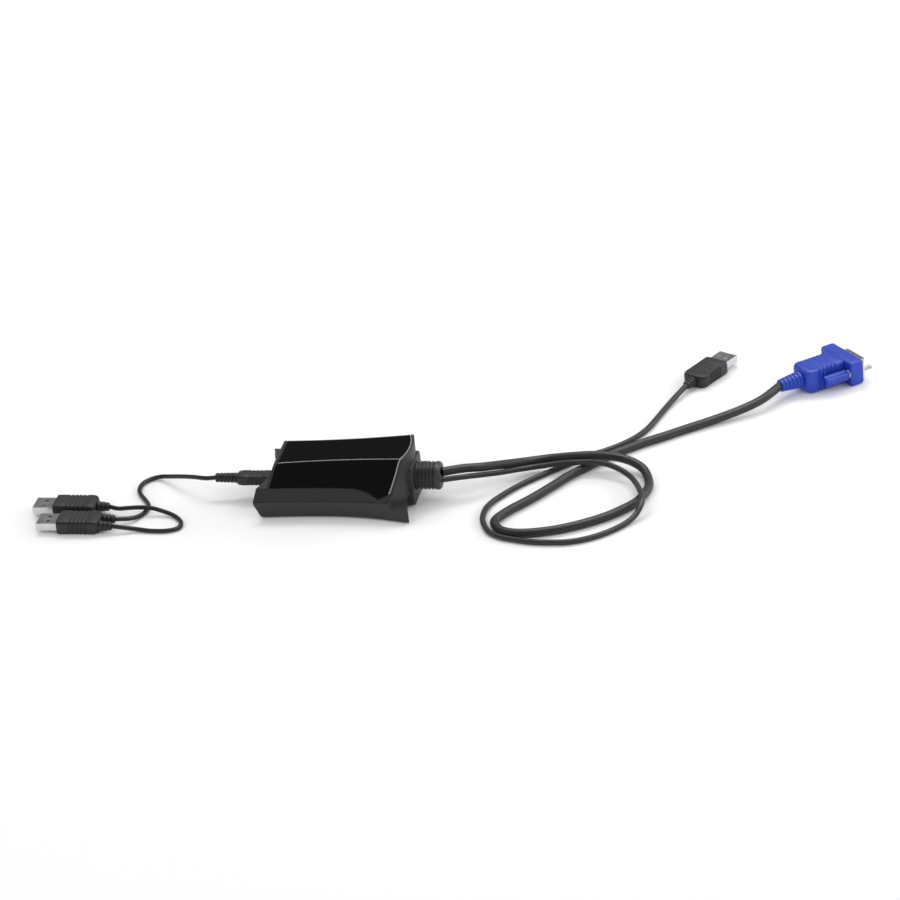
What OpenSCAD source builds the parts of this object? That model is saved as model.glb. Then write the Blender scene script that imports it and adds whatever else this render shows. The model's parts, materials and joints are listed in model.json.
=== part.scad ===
// A crash cart adapter: a small waisted case with a gloss cover, a fixed
// video and keyboard cable pair, and a laptop lead that plugs in.
// The origin is under the middle of the case, on the surface it stands on.

/* [Case] */
// Length of the case between its corner tips
case_l = 87.5; // [80:0.5:100]
// Half depth of the underside at the waist
waist_foot = 24.3; // [22:0.5:30]
// Half depth of the widest line at the waist
waist_belt = 26.5; // [24:0.5:34]
// Half depth of the shoulder at the waist
waist_shoulder = 22.3; // [19:0.5:24]
// Half depth of the top panel at the waist
waist_crease = 13.5; // [8:0.5:15]
// How far the underside spreads at the cable end
foot_flare = 7.5; // [4:0.5:12]
// How far the widest line and the shoulder spread at the cable end
upper_flare = 2.4; // [0:0.2:4]
// How far the top panel spreads at the cable end
crease_flare = 2.6; // [2:0.2:6]
// How far every line spreads at the laptop end
left_flare = 1.8; // [0:0.2:4]
// Height of the case above the surface, at the cable end
case_h = 32; // [28:0.1:34]
// How much lower the top panel is at the laptop end
top_fall = 4.4; // [1:0.2:5]
// Height of the shoulder line
shoulder_z = 17.6; // [17:0.5:21]
// Height of the widest line
belt_z = 10.4; // [9:0.2:12]
// Wall thickness of both shells
case_wall = 2; // [1.4:0.1:2.4]
// Depth of the hollow in the end face with the strain relief
right_scoop = 4.6; // [4:0.2:6]
// Depth of the hollow in the end face with the socket
left_scoop = 6.5; // [4:0.5:8]
// How far the underside is drawn in at the laptop end
foot_lean = 3.4; // [0:0.2:5]
// How far the laptop end steps back above the shoulder
upper_step = 7.6; // [4:0.2:7.8]
// How far the socket end of the cover leans in towards its top
upper_lean = 4.6; // [0:0.2:6]
// Radius of the bulge over the cable end
bulge_r = 43; // [40:0.5:60]
// Height of the ledge that the bulge stands back from
ledge_z = 7.4; // [6:0.2:8.4]

/* [Gloss cover] */
// Thickness of the gloss cover
cover_t = 1.3; // [0.8:0.1:1.6]
// Groove between the cover and the shell
cover_gap = 0.15; // [0.1:0.05:0.3]
// Distance from the cover's laptop edge to the case tips
cover_inset_left = 9.2; // [9.2:0.2:12]

/* [Circuit board] */
// Gap between the circuit board and the strain relief
board_end_gap = 0.7; // [0.5:0.1:3]
// Depth of the circuit board
board_d = 34; // [30:1:36]
// Thickness of the circuit board
board_t = 1.6; // [1:0.2:2]
// Height of the board's underside
board_z = 8; // [7:0.2:8.6]

/* [Cables] */
// Diameter of the video cable
video_d = 5; // [4:0.1:5.4]
// Diameter of the keyboard and mouse cable
kvm_d = 3.2; // [2.6:0.1:3.4]
// Diameter of the laptop lead
lead_d = 2.5; // [2.1:0.1:2.8]
// Radius of the strain relief's ribs
relief_r = 7.9; // [6.5:0.1:8.4]
// Length of the strain relief outside the collar
relief_l = 14; // [12:0.2:20]
// Height of the strain relief's axis
relief_z = 13.9; // [12:0.2:15]

/* [Video plug] */
// Width of the video plug's hood over its ears
hood_w = 31; // [30:0.5:34]
// Thickness of the video plug's hood
hood_t = 15; // [13:0.5:17]
// Length of the video plug's hood without its tail
hood_l = 33; // [30:1:38]
// Spacing of the two jackscrews
jack_pitch = 25; // [24.6:0.1:25.2]
// Diameter of a jackscrew's thread
jack_d = 2.8; // [2.6:0.1:3]
// Diameter of a thumbscrew's knob
knob_d = 6.4; // [5.8:0.1:6.8]

/* [USB plugs] */
// Width of a large plug's overmould
plug_w = 15.4; // [14:0.2:15.8]
// Thickness of a large plug's overmould
plug_t = 8; // [7:0.2:9]
// Length of a large plug's overmould without its tail
plug_l = 24; // [20:1:28]
// Length of the steel shell outside the overmould
plug_reach = 12; // [11:0.5:13]

/* [Hidden] */

// Shared values
$fn = 48;
over = 1;
fit = 0.2;
case_grey = [0.22, 0.22, 0.23];
gloss_black = [0.06, 0.06, 0.07];
plug_black = [0.09, 0.09, 0.1];
steel = [0.72, 0.73, 0.75];
gold = [0.83, 0.66, 0.3];
cable_grey = [0.3, 0.3, 0.32];
hood_blue = [0.1, 0.25, 0.62];

// Case values
half_l = case_l / 2;
waist_share = 0.45;
case_spans = 12;
foot_t = 0.8;
belt_step = 0.6;
parting_z = belt_z + belt_step;
right_half_d = max(waist_foot + foot_flare, waist_belt + upper_flare);
left_half_d = waist_belt + left_flare;
tip_lean = 0.8;
tip_power = 6;
tip_depth = right_scoop + tip_lean;
right_scoop_r = (pow(right_half_d, 2) + pow(tip_depth, 2)) / (2 * tip_depth);
left_scoop_r = (pow(left_half_d, 2) + pow(left_scoop, 2)) / (2 * left_scoop);
right_mid_x = half_l - right_scoop;
left_mid_x = left_scoop - half_l;
bulge_set = 0.35;
bulge_x = half_l - bulge_set;
upper_slope = upper_lean / (case_h - shoulder_z);
top_inset = case_wall + cover_t;

// Collar round the strain relief, on the cable end
collar_reach = 0.6;
collar_w = 24.5;
collar_top = 24;
collar_r = 3;
collar_x = bulge_x + collar_reach;
neck_share = 0.76;
neck_r = relief_r * neck_share;

// Gloss cover values
cover_lap = 0.4;
cover_edge_z = shoulder_z - cover_lap;
tongue_start_share = 0.645;
tongue_bend_share = 0.735;
tongue_tip_share = 0.81;
tongue_end_share = 0.92;
tongue_lift = 1.2;
tongue_tip_z = parting_z + tongue_lift;
tongue_bend_drop_share = 0.36;
tongue_end_drop_share = 0.14;
tongue_bend_z = cover_edge_z - (cover_edge_z - tongue_tip_z) * tongue_bend_drop_share;
tongue_end_z = cover_edge_z - (cover_edge_z - tongue_tip_z) * tongue_end_drop_share;

// Circuit board values
board_top = board_z + board_t;
board_set = 0.5;
board_x = left_mid_x + case_wall + board_set;
relief_lip = 2.6;
relief_inner_x = right_mid_x - top_inset - relief_lip;
board_l = relief_inner_x - board_end_gap - board_x;

// Screws, posts and feet
post_inset = 18;
post_x = half_l - post_inset;
post_y = 13.5;
post_r = 3.2;
screw_r = 1.25;
screw_head_r = 2.5;
screw_head_t = 1.6;
screw_recess = 0.5;
screw_bite = 7;
screw_drive_share = 0.6;
pad_r = 4;
pad_sunk = 0.5;
pad_inset = 10;
pad_x = half_l - pad_inset;
pad_y = 17.5;

// Small socket and its plug
socket_w = 7.7;
socket_h = 4;
socket_l = 9.2;
socket_wall = 0.3;
socket_set = 0.4;
socket_x = left_mid_x + socket_set;
socket_z = board_top + socket_h / 2;
socket_contact_w = 0.35;
socket_contact_t = 0.15;
socket_contact_pitch = 0.8;
socket_contact_count = 5;
tongue_t = 0.7;
tongue_w = 4.8;
tongue_l = 5.6;
socket_back = 2.2;
mini_gap = 0.18;
mini_wall = 0.25;
mini_w = socket_w - 2 * (socket_wall + mini_gap);
mini_h = socket_h - 2 * (socket_wall + mini_gap);
mini_reach = 6.4;
mini_slot_gap = 0.25;
mini_body_w = 9.4;
mini_body_h = 6;
mini_body_l = 20;
mini_body_r = 1.6;
mini_face_gap = 1.2;
mini_tail_l = 12.5;
mini_tail_r = 2.9;
mini_tail_tip_r = 2.6;
mini_face_x = left_mid_x - mini_face_gap;
mini_tail_x = mini_face_x - mini_body_l;
mini_end_x = mini_tail_x - mini_tail_l;

// Large plug values, along the plug from its tail
tail_l = 7;
tail_r = 3.2;
tail_tip_r = 2.3;
plug_r = 1.8;
plug_shell_w = 12;
plug_shell_h = 4.5;
plug_shell_wall = 0.4;
plug_shell_sunk = 6;
plug_window = 2.2;
plug_window_pitch = 5.6;
plug_window_reach = 5;
plug_tongue_t = 1.9;
plug_tongue_short = 0.8;
plug_contact_w = 1.1;
plug_contact_t = 0.25;
plug_contact_l = 8;
plug_contact_pitch = 2.4;
plug_contact_count = 4;
twin_offset = 4;

// Video plug values, along the plug from its tail
hood_tail_l = 14;
hood_tail_r = 5;
hood_tail_tip_r = 3.6;
hood_core_w = 17.4;
hood_core_share = 0.94;
ear_l = 8;
hood_r = 2;
flange_t = 0.9;
flange_w = 30.8;
flange_h = 12.4;
shell_w = 16.6;
shell_h = 8.3;
shell_wall = 0.5;
shell_reach = 6;
shell_slope = 1.5;
pin_r = 0.5;
pin_short = 0.8;
pin_pitch = 2.29;
row_pitch = 1.98;
pin_count = 5;
pin_shift_share = 0.25;
insulator_t = 1.4;
knob_l = 15;
knob_gap = 0.5;
knob_grooves = 12;
groove_r = 0.45;
jack_tip = 7.5;
thread_l = 6;
thread_depth = 0.25;
shank_d = jack_d - 2 * thread_depth;
retainer_t = 0.8;
retainer_r = 2.6;
retainer_gap = 0.05;
knob_front = -retainer_t - fit - knob_gap;
jack_gap = 0.25;

// Routes of the free cables, from the case to the plug
video_route = [
    [58, 1.9, 15.1], [68.5, 6.5, 14.8], [78, 11, 13.4], [86, 18, 11], [94, 25.5, 8.4],
    [102, 31.5, 6.6], [110.5, 34.5, 6.4], [119, 35, 7.2], [127.5, 35, 8], [136, 35.5, 8.3],
    [144.5, 35, 8.2], [152.5, 34, 7.4], [160, 32, 5.6], [165.5, 28, 3.8], [169, 20.5, 2.7],
    [171, 10.5, 2.5], [169.5, 0.5, 2.5], [166.5, -8.5, 2.5], [160.5, -16.5, 2.5],
    [153, -24.5, 2.5], [144.5, -31, 2.5], [135.5, -36.5, 2.5], [125.5, -41, 2.5],
    [114.5, -44, 2.5], [105.5, -44.5, 2.5], [98.5, -42.5, 2.5], [94, -37.5, 2.5],
    [92, -31.5, 2.5], [94, -25.5, 2.5], [99.5, -16.5, 2.5], [106, -8, 2.5], [112, 1, 2.5],
    [118.5, 11.5, 2.5], [125.5, 23, 2.5], [133.5, 33, 2.5], [142, 44.5, 2.5],
    [151.5, 53.5, 2.5], [161, 62, 2.5], [171.5, 70, 2.5], [182, 78.5, 2.5],
    [193, 86.5, 2.8], [203.5, 93.5, 3.6], [213.5, 100.5, 4.8], [223, 109, 6.4],
    [231, 123, 7.5]
];
kvm_route = [
    [58, -2, 12.2], [69.5, 2, 12], [78, 8, 10.1], [86.5, 15, 7.8], [94.5, 22, 5.9],
    [103, 26.5, 5.2], [111.5, 28.5, 5.6], [120, 29.5, 6.4], [128.5, 29.5, 7],
    [137, 29.5, 7.2], [145, 27.5, 7], [152, 24, 6.2], [158.5, 18.5, 5.2], [163.5, 9.5, 5.8],
    [168, -2.5, 7.1], [171, -13, 7.5], [170.5, -19.5, 5.6], [168, -25, 2.9],
    [163, -32.5, 1.7], [156, -40.5, 1.6], [147, -47.5, 1.6], [136.5, -52, 1.6],
    [126, -53, 1.6], [115.5, -52.5, 1.6], [105, -50, 1.6], [97, -47, 1.6], [90, -41, 1.6],
    [85, -29.5, 1.6], [84, -18.5, 1.6], [86, -9, 1.6], [91.5, 1.5, 1.6], [98.5, 12, 1.6],
    [107, 22, 1.6], [116, 31.5, 1.6], [124, 40, 1.6], [132.5, 48, 1.6], [141, 54.5, 1.6],
    [148.5, 61.5, 1.6], [155.5, 70.5, 1.6], [160.5, 81, 1.6], [164, 93.5, 1.6],
    [167.5, 107, 1.7], [171.5, 119, 2.6], [176, 130, 4]
];
laptop_route = [
    [-70.95, 0, 11.6], [-77, -0.5, 11.4], [-84, 3, 10.2], [-92.5, 8.5, 7.6],
    [-101.5, 14.5, 4.4], [-109, 18.5, 2], [-114.5, 16.5, 1.3], [-117.5, 11, 1.3],
    [-117.5, 4, 1.3], [-115, -2, 1.3], [-111, -8, 1.3], [-107.5, -14.5, 1.3],
    [-107.5, -21, 1.3], [-109.5, -26.5, 1.4], [-113.5, -32, 2.6], [-121, -35.5, 4]
];
power_route = [
    [-128, -21, 4], [-122.5, -23, 3.9], [-116.5, -22.5, 4.1], [-110, -22, 4.2],
    [-103.5, -22.5, 4.1], [-97.5, -23.5, 3], [-91, -25.5, 1.6], [-85.5, -31, 1.3],
    [-83.5, -36.5, 1.3], [-85, -41, 1.3], [-91, -43.5, 1.3], [-99.5, -43.5, 1.3],
    [-108, -42.5, 1.8], [-115, -43.5, 3.2], [-121, -43.5, 4]
];
video_heading = 40;
kvm_heading = 62;
left_heading = 180;
cord_sides = 8;
video_sides = 10;

// Loft of the case: how far every line has spread at a share of the length
function spread(share) = share < waist_share
    ? pow((waist_share - share) / waist_share, 2)
    : pow((share - waist_share) / (1 - waist_share), 2);

function half_depth(share, waist, flare) =
    waist + (share < waist_share ? left_flare : flare) * spread(share);

// Half section at a share of the length, drawn in by an inset all round
crease_in_share = 0.45;
shoulder_drop_share = 0.4;
function half_section(share, inset) = [
    [half_depth(share, waist_foot, foot_flare) - inset, foot_t + inset],
    [half_depth(share, waist_belt, upper_flare) - inset, belt_z],
    [half_depth(share, waist_shoulder, upper_flare) - inset, shoulder_z - shoulder_drop_share * inset],
    [half_depth(share, waist_crease, crease_flare) - crease_in_share * inset,
        case_h - top_fall * (1 - share) - inset]
];

function ring_of(share, inset) = let (
    half = half_section(share, inset),
    x = (share - 0.5) * (case_l - 2 * inset),
    lean = [foot_lean * pow(1 - share, 2) + tip_lean * pow(share, tip_power), 0, 0, 0]
) concat(
    [for (i = [0 : 3]) [x + lean[i], -half[i][0], half[i][1]]],
    [for (i = [3 : -1 : 0]) [x + lean[i], half[i][0], half[i][1]]]
);

// Triangles that join a stack of equal rings and close both ends
function tube_faces(rings, sides) = concat(
    [for (r = [0 : rings - 2], s = [0 : sides - 1])
        [r * sides + s, r * sides + (s + 1) % sides, (r + 1) * sides + s]],
    [for (r = [0 : rings - 2], s = [0 : sides - 1])
        [r * sides + (s + 1) % sides, (r + 1) * sides + (s + 1) % sides, (r + 1) * sides + s]],
    [for (s = [1 : sides - 2]) [0, s + 1, s]],
    [for (s = [1 : sides - 2])
        [(rings - 1) * sides, (rings - 1) * sides + s, (rings - 1) * sides + s + 1]]
);

module case_loft(inset) {
    points = [for (i = [0 : case_spans]) each ring_of(i / case_spans, inset)];
    polyhedron(points, tube_faces(case_spans + 1, 8));
}

module end_scoop(x, radius, height) {
    translate([x, 0, -over])
        cylinder(r = radius, h = height + over, $fn = 96);
}

// All that lies outside the bulge, above the ledge
module round_bulge(inset) {
    translate([0, -case_l, ledge_z - inset])
        difference() {
            cube([case_l, 2 * case_l, case_h]);
            translate([bulge_x - bulge_r, case_l, -over])
                cylinder(r = bulge_r - inset, h = case_h + 2 * over, $fn = 96);
        }
}

// Place at a height on a line that leans in like the cover's socket end
function leaning(x, z) = x + (z - shoulder_z) * upper_slope;

module socket_end(x, low) {
    high = case_h + over;
    rotate([90, 0, 0])
        translate([0, 0, -case_l])
            linear_extrude(2 * case_l)
                polygon([[leaning(x, low), low], [leaning(x, high), high], [-case_l, high], [-case_l, low]]);
}

module case_solid(inset) {
    difference() {
        case_loft(inset);
        end_scoop(right_mid_x + right_scoop_r, right_scoop_r + inset, ledge_z + inset);
        end_scoop(left_mid_x - left_scoop_r, left_scoop_r + inset, case_h + over);
        round_bulge(inset);
        socket_end(upper_step + inset - half_l, shoulder_z - inset);
    }
}

module slab(low, high) {
    translate([-case_l, -case_l, low])
        cube([2 * case_l, 2 * case_l, high - low]);
}

// Rounded bar along X, centred on Y and Z
module bar(length, width, height, radius) {
    rotate([90, 0, 90])
        linear_extrude(length) {
            square([width - 2 * radius, height], center = true);
            square([width, height - 2 * radius], center = true);
            for (y = [-1, 1], z = [-1, 1])
                translate([y * (width / 2 - radius), z * (height / 2 - radius)])
                    circle(radius);
        }
}

module along_x(x, y, z, radius, length) {
    translate([x, y, z])
        rotate([0, 90, 0])
            cylinder(r = radius, h = length);
}

module collar() {
    collar_low = foot_t;
    start = right_mid_x - case_wall / 2;
    translate([start, 0, (collar_low + collar_top) / 2])
        bar(collar_x - start, collar_w, collar_top - collar_low, collar_r);
}

module relief_hole() {
    start = right_mid_x - 2 * top_inset;
    along_x(start, 0, relief_z, neck_r, collar_x + over - start);
}

module socket_hole() {
    translate([-half_l, -socket_w / 2 - fit, socket_z - socket_h / 2 - fit])
        cube([left_scoop + 2 * top_inset, socket_w + 2 * fit, socket_h + 2 * fit]);
}

module at_posts() {
    for (x = [-1, 1], y = [-1, 1])
        translate([x * post_x, y * post_y, 0])
            children();
}

module at_pads() {
    for (x = [-1, 1], y = [-1, 1])
        translate([x * pad_x, y * pad_y, 0])
            children();
}

module bottom_shell() {
    color(case_grey)
        difference() {
            union() {
                difference() {
                    intersection() {
                        case_solid(0);
                        slab(0, parting_z);
                    }
                    case_solid(case_wall);
                }
                intersection() {
                    collar();
                    slab(0, parting_z);
                }
                at_posts()
                    translate([0, 0, foot_t + case_wall / 2])
                        cylinder(r = post_r, h = board_z - foot_t - case_wall / 2);
            }
            relief_hole();
            socket_hole();
            at_posts() {
                cylinder(r = screw_r + fit, h = board_z + over);
                cylinder(r = screw_head_r + fit, h = foot_t + screw_recess + screw_head_t);
            }
            at_pads()
                cylinder(r = pad_r, h = foot_t + pad_sunk);
        }
}

module top_shell() {
    color(case_grey)
        difference() {
            union() {
                difference() {
                    intersection() {
                        union() {
                            case_solid(cover_t);
                            difference() {
                                case_solid(0);
                                cover_prism(0);
                            }
                        }
                        slab(parting_z, case_h + over);
                    }
                    case_solid(top_inset);
                }
                intersection() {
                    collar();
                    slab(parting_z, case_h);
                }
                intersection() {
                    at_posts()
                        translate([0, 0, board_top])
                            cylinder(r = post_r, h = case_h);
                    case_solid(cover_t + case_wall / 2);
                }
            }
            relief_hole();
            socket_hole();
            at_posts()
                cylinder(r = screw_r, h = board_top + screw_bite + over);
        }
}

// Side view of the cover, cut through the case up to a rim inside the bulge
module cover_prism(gap) {
    left = cover_inset_left - half_l + gap;
    low = cover_edge_z + gap;
    high = case_h + over;
    intersection() {
        rotate([90, 0, 0])
            translate([0, 0, -case_l])
                linear_extrude(2 * case_l)
                    polygon([
                        [leaning(left, low), low],
                        [case_l * (tongue_start_share - 0.5), low],
                        [case_l * (tongue_bend_share - 0.5), tongue_bend_z + gap],
                        [case_l * (tongue_tip_share - 0.5), tongue_tip_z + gap],
                        [case_l * (tongue_end_share - 0.5) - gap, tongue_end_z + gap],
                        [case_l, tongue_end_z + gap],
                        [case_l, high],
                        [leaning(left, high), high]
                    ]);
        translate([bulge_x - bulge_r, 0, -over])
            cylinder(r = bulge_r - cover_t - gap, h = case_h + 3 * over, $fn = 96);
    }
}

module gloss_cover() {
    color(gloss_black)
        difference() {
            intersection() {
                case_solid(0);
                cover_prism(cover_gap);
            }
            case_solid(cover_t);
        }
}

module rubber_feet() {
    color(plug_black)
        at_pads()
            cylinder(r = pad_r - fit, h = foot_t + pad_sunk);
}

module housing_screws() {
    head_z = foot_t + screw_recess;
    color(steel)
        at_posts()
            translate([0, 0, head_z]) {
                difference() {
                    cylinder(r = screw_head_r, h = screw_head_t);
                    translate([0, 0, -over])
                        cylinder(r = screw_r * screw_drive_share, h = over + screw_head_t / 2, $fn = 6);
                }
                translate([0, 0, screw_head_t])
                    cylinder(r = screw_r, h = board_top + screw_bite - head_z - screw_head_t);
            }
}

module circuit_board() {
    color([0.05, 0.3, 0.16])
        difference() {
            translate([board_x, -board_d / 2, board_z])
                cube([board_l, board_d, board_t]);
            at_posts()
                translate([0, 0, board_z - over])
                    cylinder(r = screw_r + fit, h = board_t + 2 * over);
        }
}

module socket_shell() {
    color(steel)
        difference() {
            translate([socket_x, -socket_w / 2, board_top])
                cube([socket_l, socket_w, socket_h]);
            translate([socket_x - over, socket_wall - socket_w / 2, board_top + socket_wall])
                cube([socket_l + 2 * over, socket_w - 2 * socket_wall, socket_h - 2 * socket_wall]);
        }
}

module socket_insert() {
    back_x = socket_x + socket_l - socket_back;
    color(plug_black) {
        translate([back_x, socket_wall - socket_w / 2, board_top + socket_wall])
            cube([socket_back, socket_w - 2 * socket_wall, socket_h - 2 * socket_wall]);
        translate([back_x - tongue_l, -tongue_w / 2, socket_z - tongue_t / 2])
            cube([tongue_l, tongue_w, tongue_t]);
    }
}

module socket_contacts() {
    span = (socket_contact_count - 1) * socket_contact_pitch;
    color(gold)
        for (i = [0 : socket_contact_count - 1])
            translate([socket_x + socket_l - socket_back - tongue_l + socket_set,
                i * socket_contact_pitch - span / 2 - socket_contact_w / 2,
                socket_z + tongue_t / 2])
                cube([tongue_l - socket_set, socket_contact_w, socket_contact_t]);
}

// Places along the board: a crystal behind the socket, two columns of chips, the headers
header_w = 5;
header_inset = 14.2;
header_x = relief_inner_x - header_inset;
crystal_l = 11;
crystal_d = 4.4;
crystal_h = 3.6;
crystal_gap = 0.8;
crystal_x = socket_x + socket_l + crystal_gap + crystal_d / 2;
video_chip_w = 11;
memory_chip_w = 8;
memory_chip_d = 6;
usb_chip_w = 7;
chip_h = 1.4;
chip_legs = 10;
chip_row_start = crystal_x + crystal_d / 2;
chip_row_end = header_x - header_w / 2;
chip_gap = (chip_row_end - chip_row_start - memory_chip_w - video_chip_w) / 3;
memory_chip_x = chip_row_start + chip_gap + memory_chip_w / 2;
video_chip_x = chip_row_end - chip_gap - video_chip_w / 2;
chip_side = 5.4;
leg_w_share = 0.4;
leg_out_share = 0.6;
leg_t_share = 0.12;

// A flat package on the board, with legs down two sides
module chip(x, y, length, depth) {
    pitch = length / chip_legs;
    leg_w = pitch * leg_w_share;
    leg_out = chip_h * leg_out_share;
    leg_t = chip_h * leg_t_share;
    translate([x, y, board_top]) {
        color(plug_black)
            translate([-length / 2, -depth / 2, leg_t])
                cube([length, depth, chip_h - leg_t]);
        color(steel)
            for (i = [0 : chip_legs - 1])
                translate([(i + 0.5) * pitch - length / 2 - leg_w / 2, -depth / 2 - leg_out, 0])
                    cube([leg_w, depth + 2 * leg_out, leg_t]);
    }
}

module video_chip() {
    chip(video_chip_x, 0, video_chip_w, video_chip_w);
}

module memory_chip() {
    chip(memory_chip_x, chip_side, memory_chip_w, memory_chip_d);
}

module usb_chip() {
    chip(memory_chip_x, -chip_side, usb_chip_w, usb_chip_w);
}

// Oval metal can lying across the board
module crystal_can() {
    color(steel)
        translate([crystal_x, 0, board_top])
            linear_extrude(crystal_h) {
                square([crystal_d, crystal_l - crystal_d], center = true);
                for (y = [-1, 1])
                    translate([0, y * (crystal_l - crystal_d) / 2])
                        circle(crystal_d / 2);
            }
}

can_r = 2.5;
can_h = 5.4;
can_gap = 1;
can_base_share = 0.2;
can_wall_share = 0.96;

module capacitors() {
    base_h = can_h * can_base_share;
    for (i = [-1, 1])
        translate([post_r + can_r + can_gap - post_x, i * post_y, board_top]) {
            color(plug_black)
                cylinder(r = can_r, h = base_h);
            color(steel)
                translate([0, 0, base_h])
                    cylinder(r = can_r * can_wall_share, h = can_h - base_h);
        }
}

resistor_l = 1.6;
resistor_w = 0.8;
resistor_t = 0.5;
resistor_pitch = 3;

module chip_resistors() {
    color(plug_black)
        for (i = [-2 : 2], side = [-1, 1])
            translate([video_chip_x + i * resistor_pitch - resistor_l / 2,
                side * (video_chip_w - resistor_pitch) - resistor_w / 2, board_top])
                cube([resistor_l, resistor_w, resistor_t]);
}

header_wall = 0.7;
wire_thin_share = 0.7;
wire_gap = 2.2;
header_share = 0.69;
header_room = case_h - top_fall - top_inset - board_top - wire_gap - header_wall - fit
    - video_d * wire_thin_share;
header_h = header_room * header_share;
video_header_d = 17;
usb_header_d = 10;
plug_rise = header_room - header_h;
header_gap = 0.1;
usb_header_y = -11;
video_header_y = 5.5;

module header(y, depth) {
    color([0.86, 0.84, 0.78])
        translate([header_x - header_w / 2, y - depth / 2, board_top])
            difference() {
                cube([header_w, depth, header_h]);
                translate([header_wall, header_wall, header_wall])
                    cube([header_w - 2 * header_wall, depth - 2 * header_wall, header_h]);
            }
}

module header_plug(y, depth) {
    inset = header_wall + header_gap;
    color([0.9, 0.89, 0.85])
        translate([header_x - header_w / 2 + inset, y - depth / 2 + inset, board_top + header_wall])
            cube([header_w - 2 * inset, depth - 2 * inset, header_h + plug_rise]);
}

module video_header() {
    header(video_header_y, video_header_d);
}

module usb_header() {
    header(usb_header_y, usb_header_d);
}

module video_header_plug() {
    header_plug(video_header_y, video_header_d);
}

module usb_header_plug() {
    header_plug(usb_header_y, usb_header_d);
}

// Inner wires lie on the crimped plug and fall into the strain relief
wire_top = board_top + header_wall + header_h + plug_rise;
wire_near_share = 0.4;
wire_near_side_share = 0.3;
wire_far_share = 0.75;
wire_far_side_share = 0.9;
wire_far_drop_share = 0.8;

module wires(y, width, exit_y, exit_z, thick) {
    start_z = wire_top + fit + thick / 2;
    reach = relief_inner_x - header_x;
    shift = exit_y - y;
    translate([header_x - thick / 2, y - width / 2, wire_top])
        cube([thick, width, fit + thick]);
    sweep([
        [header_x, y, start_z],
        [header_x + reach * wire_near_share, y + shift * wire_near_side_share, start_z],
        [header_x + reach * wire_far_share, y + shift * wire_far_side_share,
            start_z + (exit_z - start_z) * wire_far_drop_share],
        [relief_inner_x, exit_y, exit_z]
    ], thick, cord_sides);
}

module video_wires() {
    color([0.75, 0.2, 0.15])
        wires(video_header_y, video_header_d / 2, video_route[0][1], video_route[0][2],
            video_d * wire_thin_share);
}

module usb_wires() {
    color([0.9, 0.9, 0.88])
        wires(usb_header_y, usb_header_d / 2, kvm_route[0][1], kvm_route[0][2],
            kvm_d * wire_thin_share);
}

// Ribbed strain relief, turned about the axis it shares with its hole
rib_count = 5;
rib_groove = 0.9;
rib_depth = 1;
relief_end_share = 0.24;

module strain_relief() {
    rib_zone = relief_l * (1 - relief_end_share);
    rib_pitch = rib_zone / rib_count;
    color(cable_grey)
        difference() {
            union() {
                along_x(relief_inner_x, 0, relief_z, neck_r + relief_lip / 2, relief_lip);
                along_x(relief_inner_x, 0, relief_z, neck_r - fit, collar_x + relief_l - relief_inner_x);
                along_x(collar_x, 0, relief_z, relief_r, relief_l);
            }
            for (i = [0 : rib_count - 1])
                translate([collar_x + (i + 1) * rib_pitch - rib_groove, 0, relief_z])
                    rotate([0, 90, 0])
                        difference() {
                            cylinder(r = relief_r + over, h = rib_groove);
                            translate([0, 0, -over])
                                cylinder(r = relief_r - rib_depth, h = rib_groove + 2 * over);
                        }
        }
}

// Tube swept along a route: each ring stands square to the bend it is in
function unit(v) = v / norm(v);

function heading_at(route, i) =
    i == 0 ? unit(route[1] - route[0])
    : i == len(route) - 1 ? unit(route[i] - route[i - 1])
    : unit(unit(route[i + 1] - route[i]) + unit(route[i] - route[i - 1]));

function ring_at(route, i, radius, sides) = let (
    ahead = heading_at(route, i),
    side = unit(cross(ahead, [0, 0, 1])),
    up = cross(side, ahead)
) [for (s = [0 : sides - 1]) let (a = 360 * s / sides)
    route[i] + radius * (cos(a) * side + sin(a) * up)];

module sweep(route, diameter, sides) {
    points = [for (i = [0 : len(route) - 1]) each ring_at(route, i, diameter / 2, sides)];
    polyhedron(points, tube_faces(len(route), sides));
}

module video_cable() {
    color(cable_grey)
        sweep(video_route, video_d, video_sides);
}

module kvm_cable() {
    color(cable_grey)
        sweep(kvm_route, kvm_d, cord_sides);
}

module laptop_cord() {
    color(cable_grey)
        sweep(laptop_route, lead_d, cord_sides);
}

module power_cord() {
    color(cable_grey)
        sweep(power_route, lead_d, cord_sides);
}

// Large plug, along +X from its tail tip
module plug_body(tails) {
    color(plug_black)
        difference() {
            union() {
                for (y = tails)
                    translate([0, y, 0])
                        rotate([0, 90, 0])
                            cylinder(r1 = tail_tip_r, r2 = tail_r, h = tail_l + over);
                translate([tail_l, 0, 0])
                    bar(plug_l, plug_w, plug_t, plug_r);
            }
            translate([tail_l + plug_l - plug_shell_sunk, -plug_shell_w / 2, -plug_shell_h / 2])
                cube([plug_shell_sunk + over, plug_shell_w, plug_shell_h]);
        }
}

module plug_steel() {
    length = plug_shell_sunk + plug_reach;
    color(steel)
        translate([tail_l + plug_l - plug_shell_sunk, 0, 0])
            difference() {
                translate([0, -plug_shell_w / 2, -plug_shell_h / 2])
                    cube([length, plug_shell_w, plug_shell_h]);
                translate([plug_shell_wall, plug_shell_wall - plug_shell_w / 2,
                    plug_shell_wall - plug_shell_h / 2])
                    cube([length, plug_shell_w - 2 * plug_shell_wall, plug_shell_h - 2 * plug_shell_wall]);
                for (y = [-1, 1])
                    translate([length - plug_window_reach - plug_window,
                        y * plug_window_pitch / 2 - plug_window / 2, -plug_shell_h])
                        cube([plug_window, plug_window, 2 * plug_shell_h]);
            }
}

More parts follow.
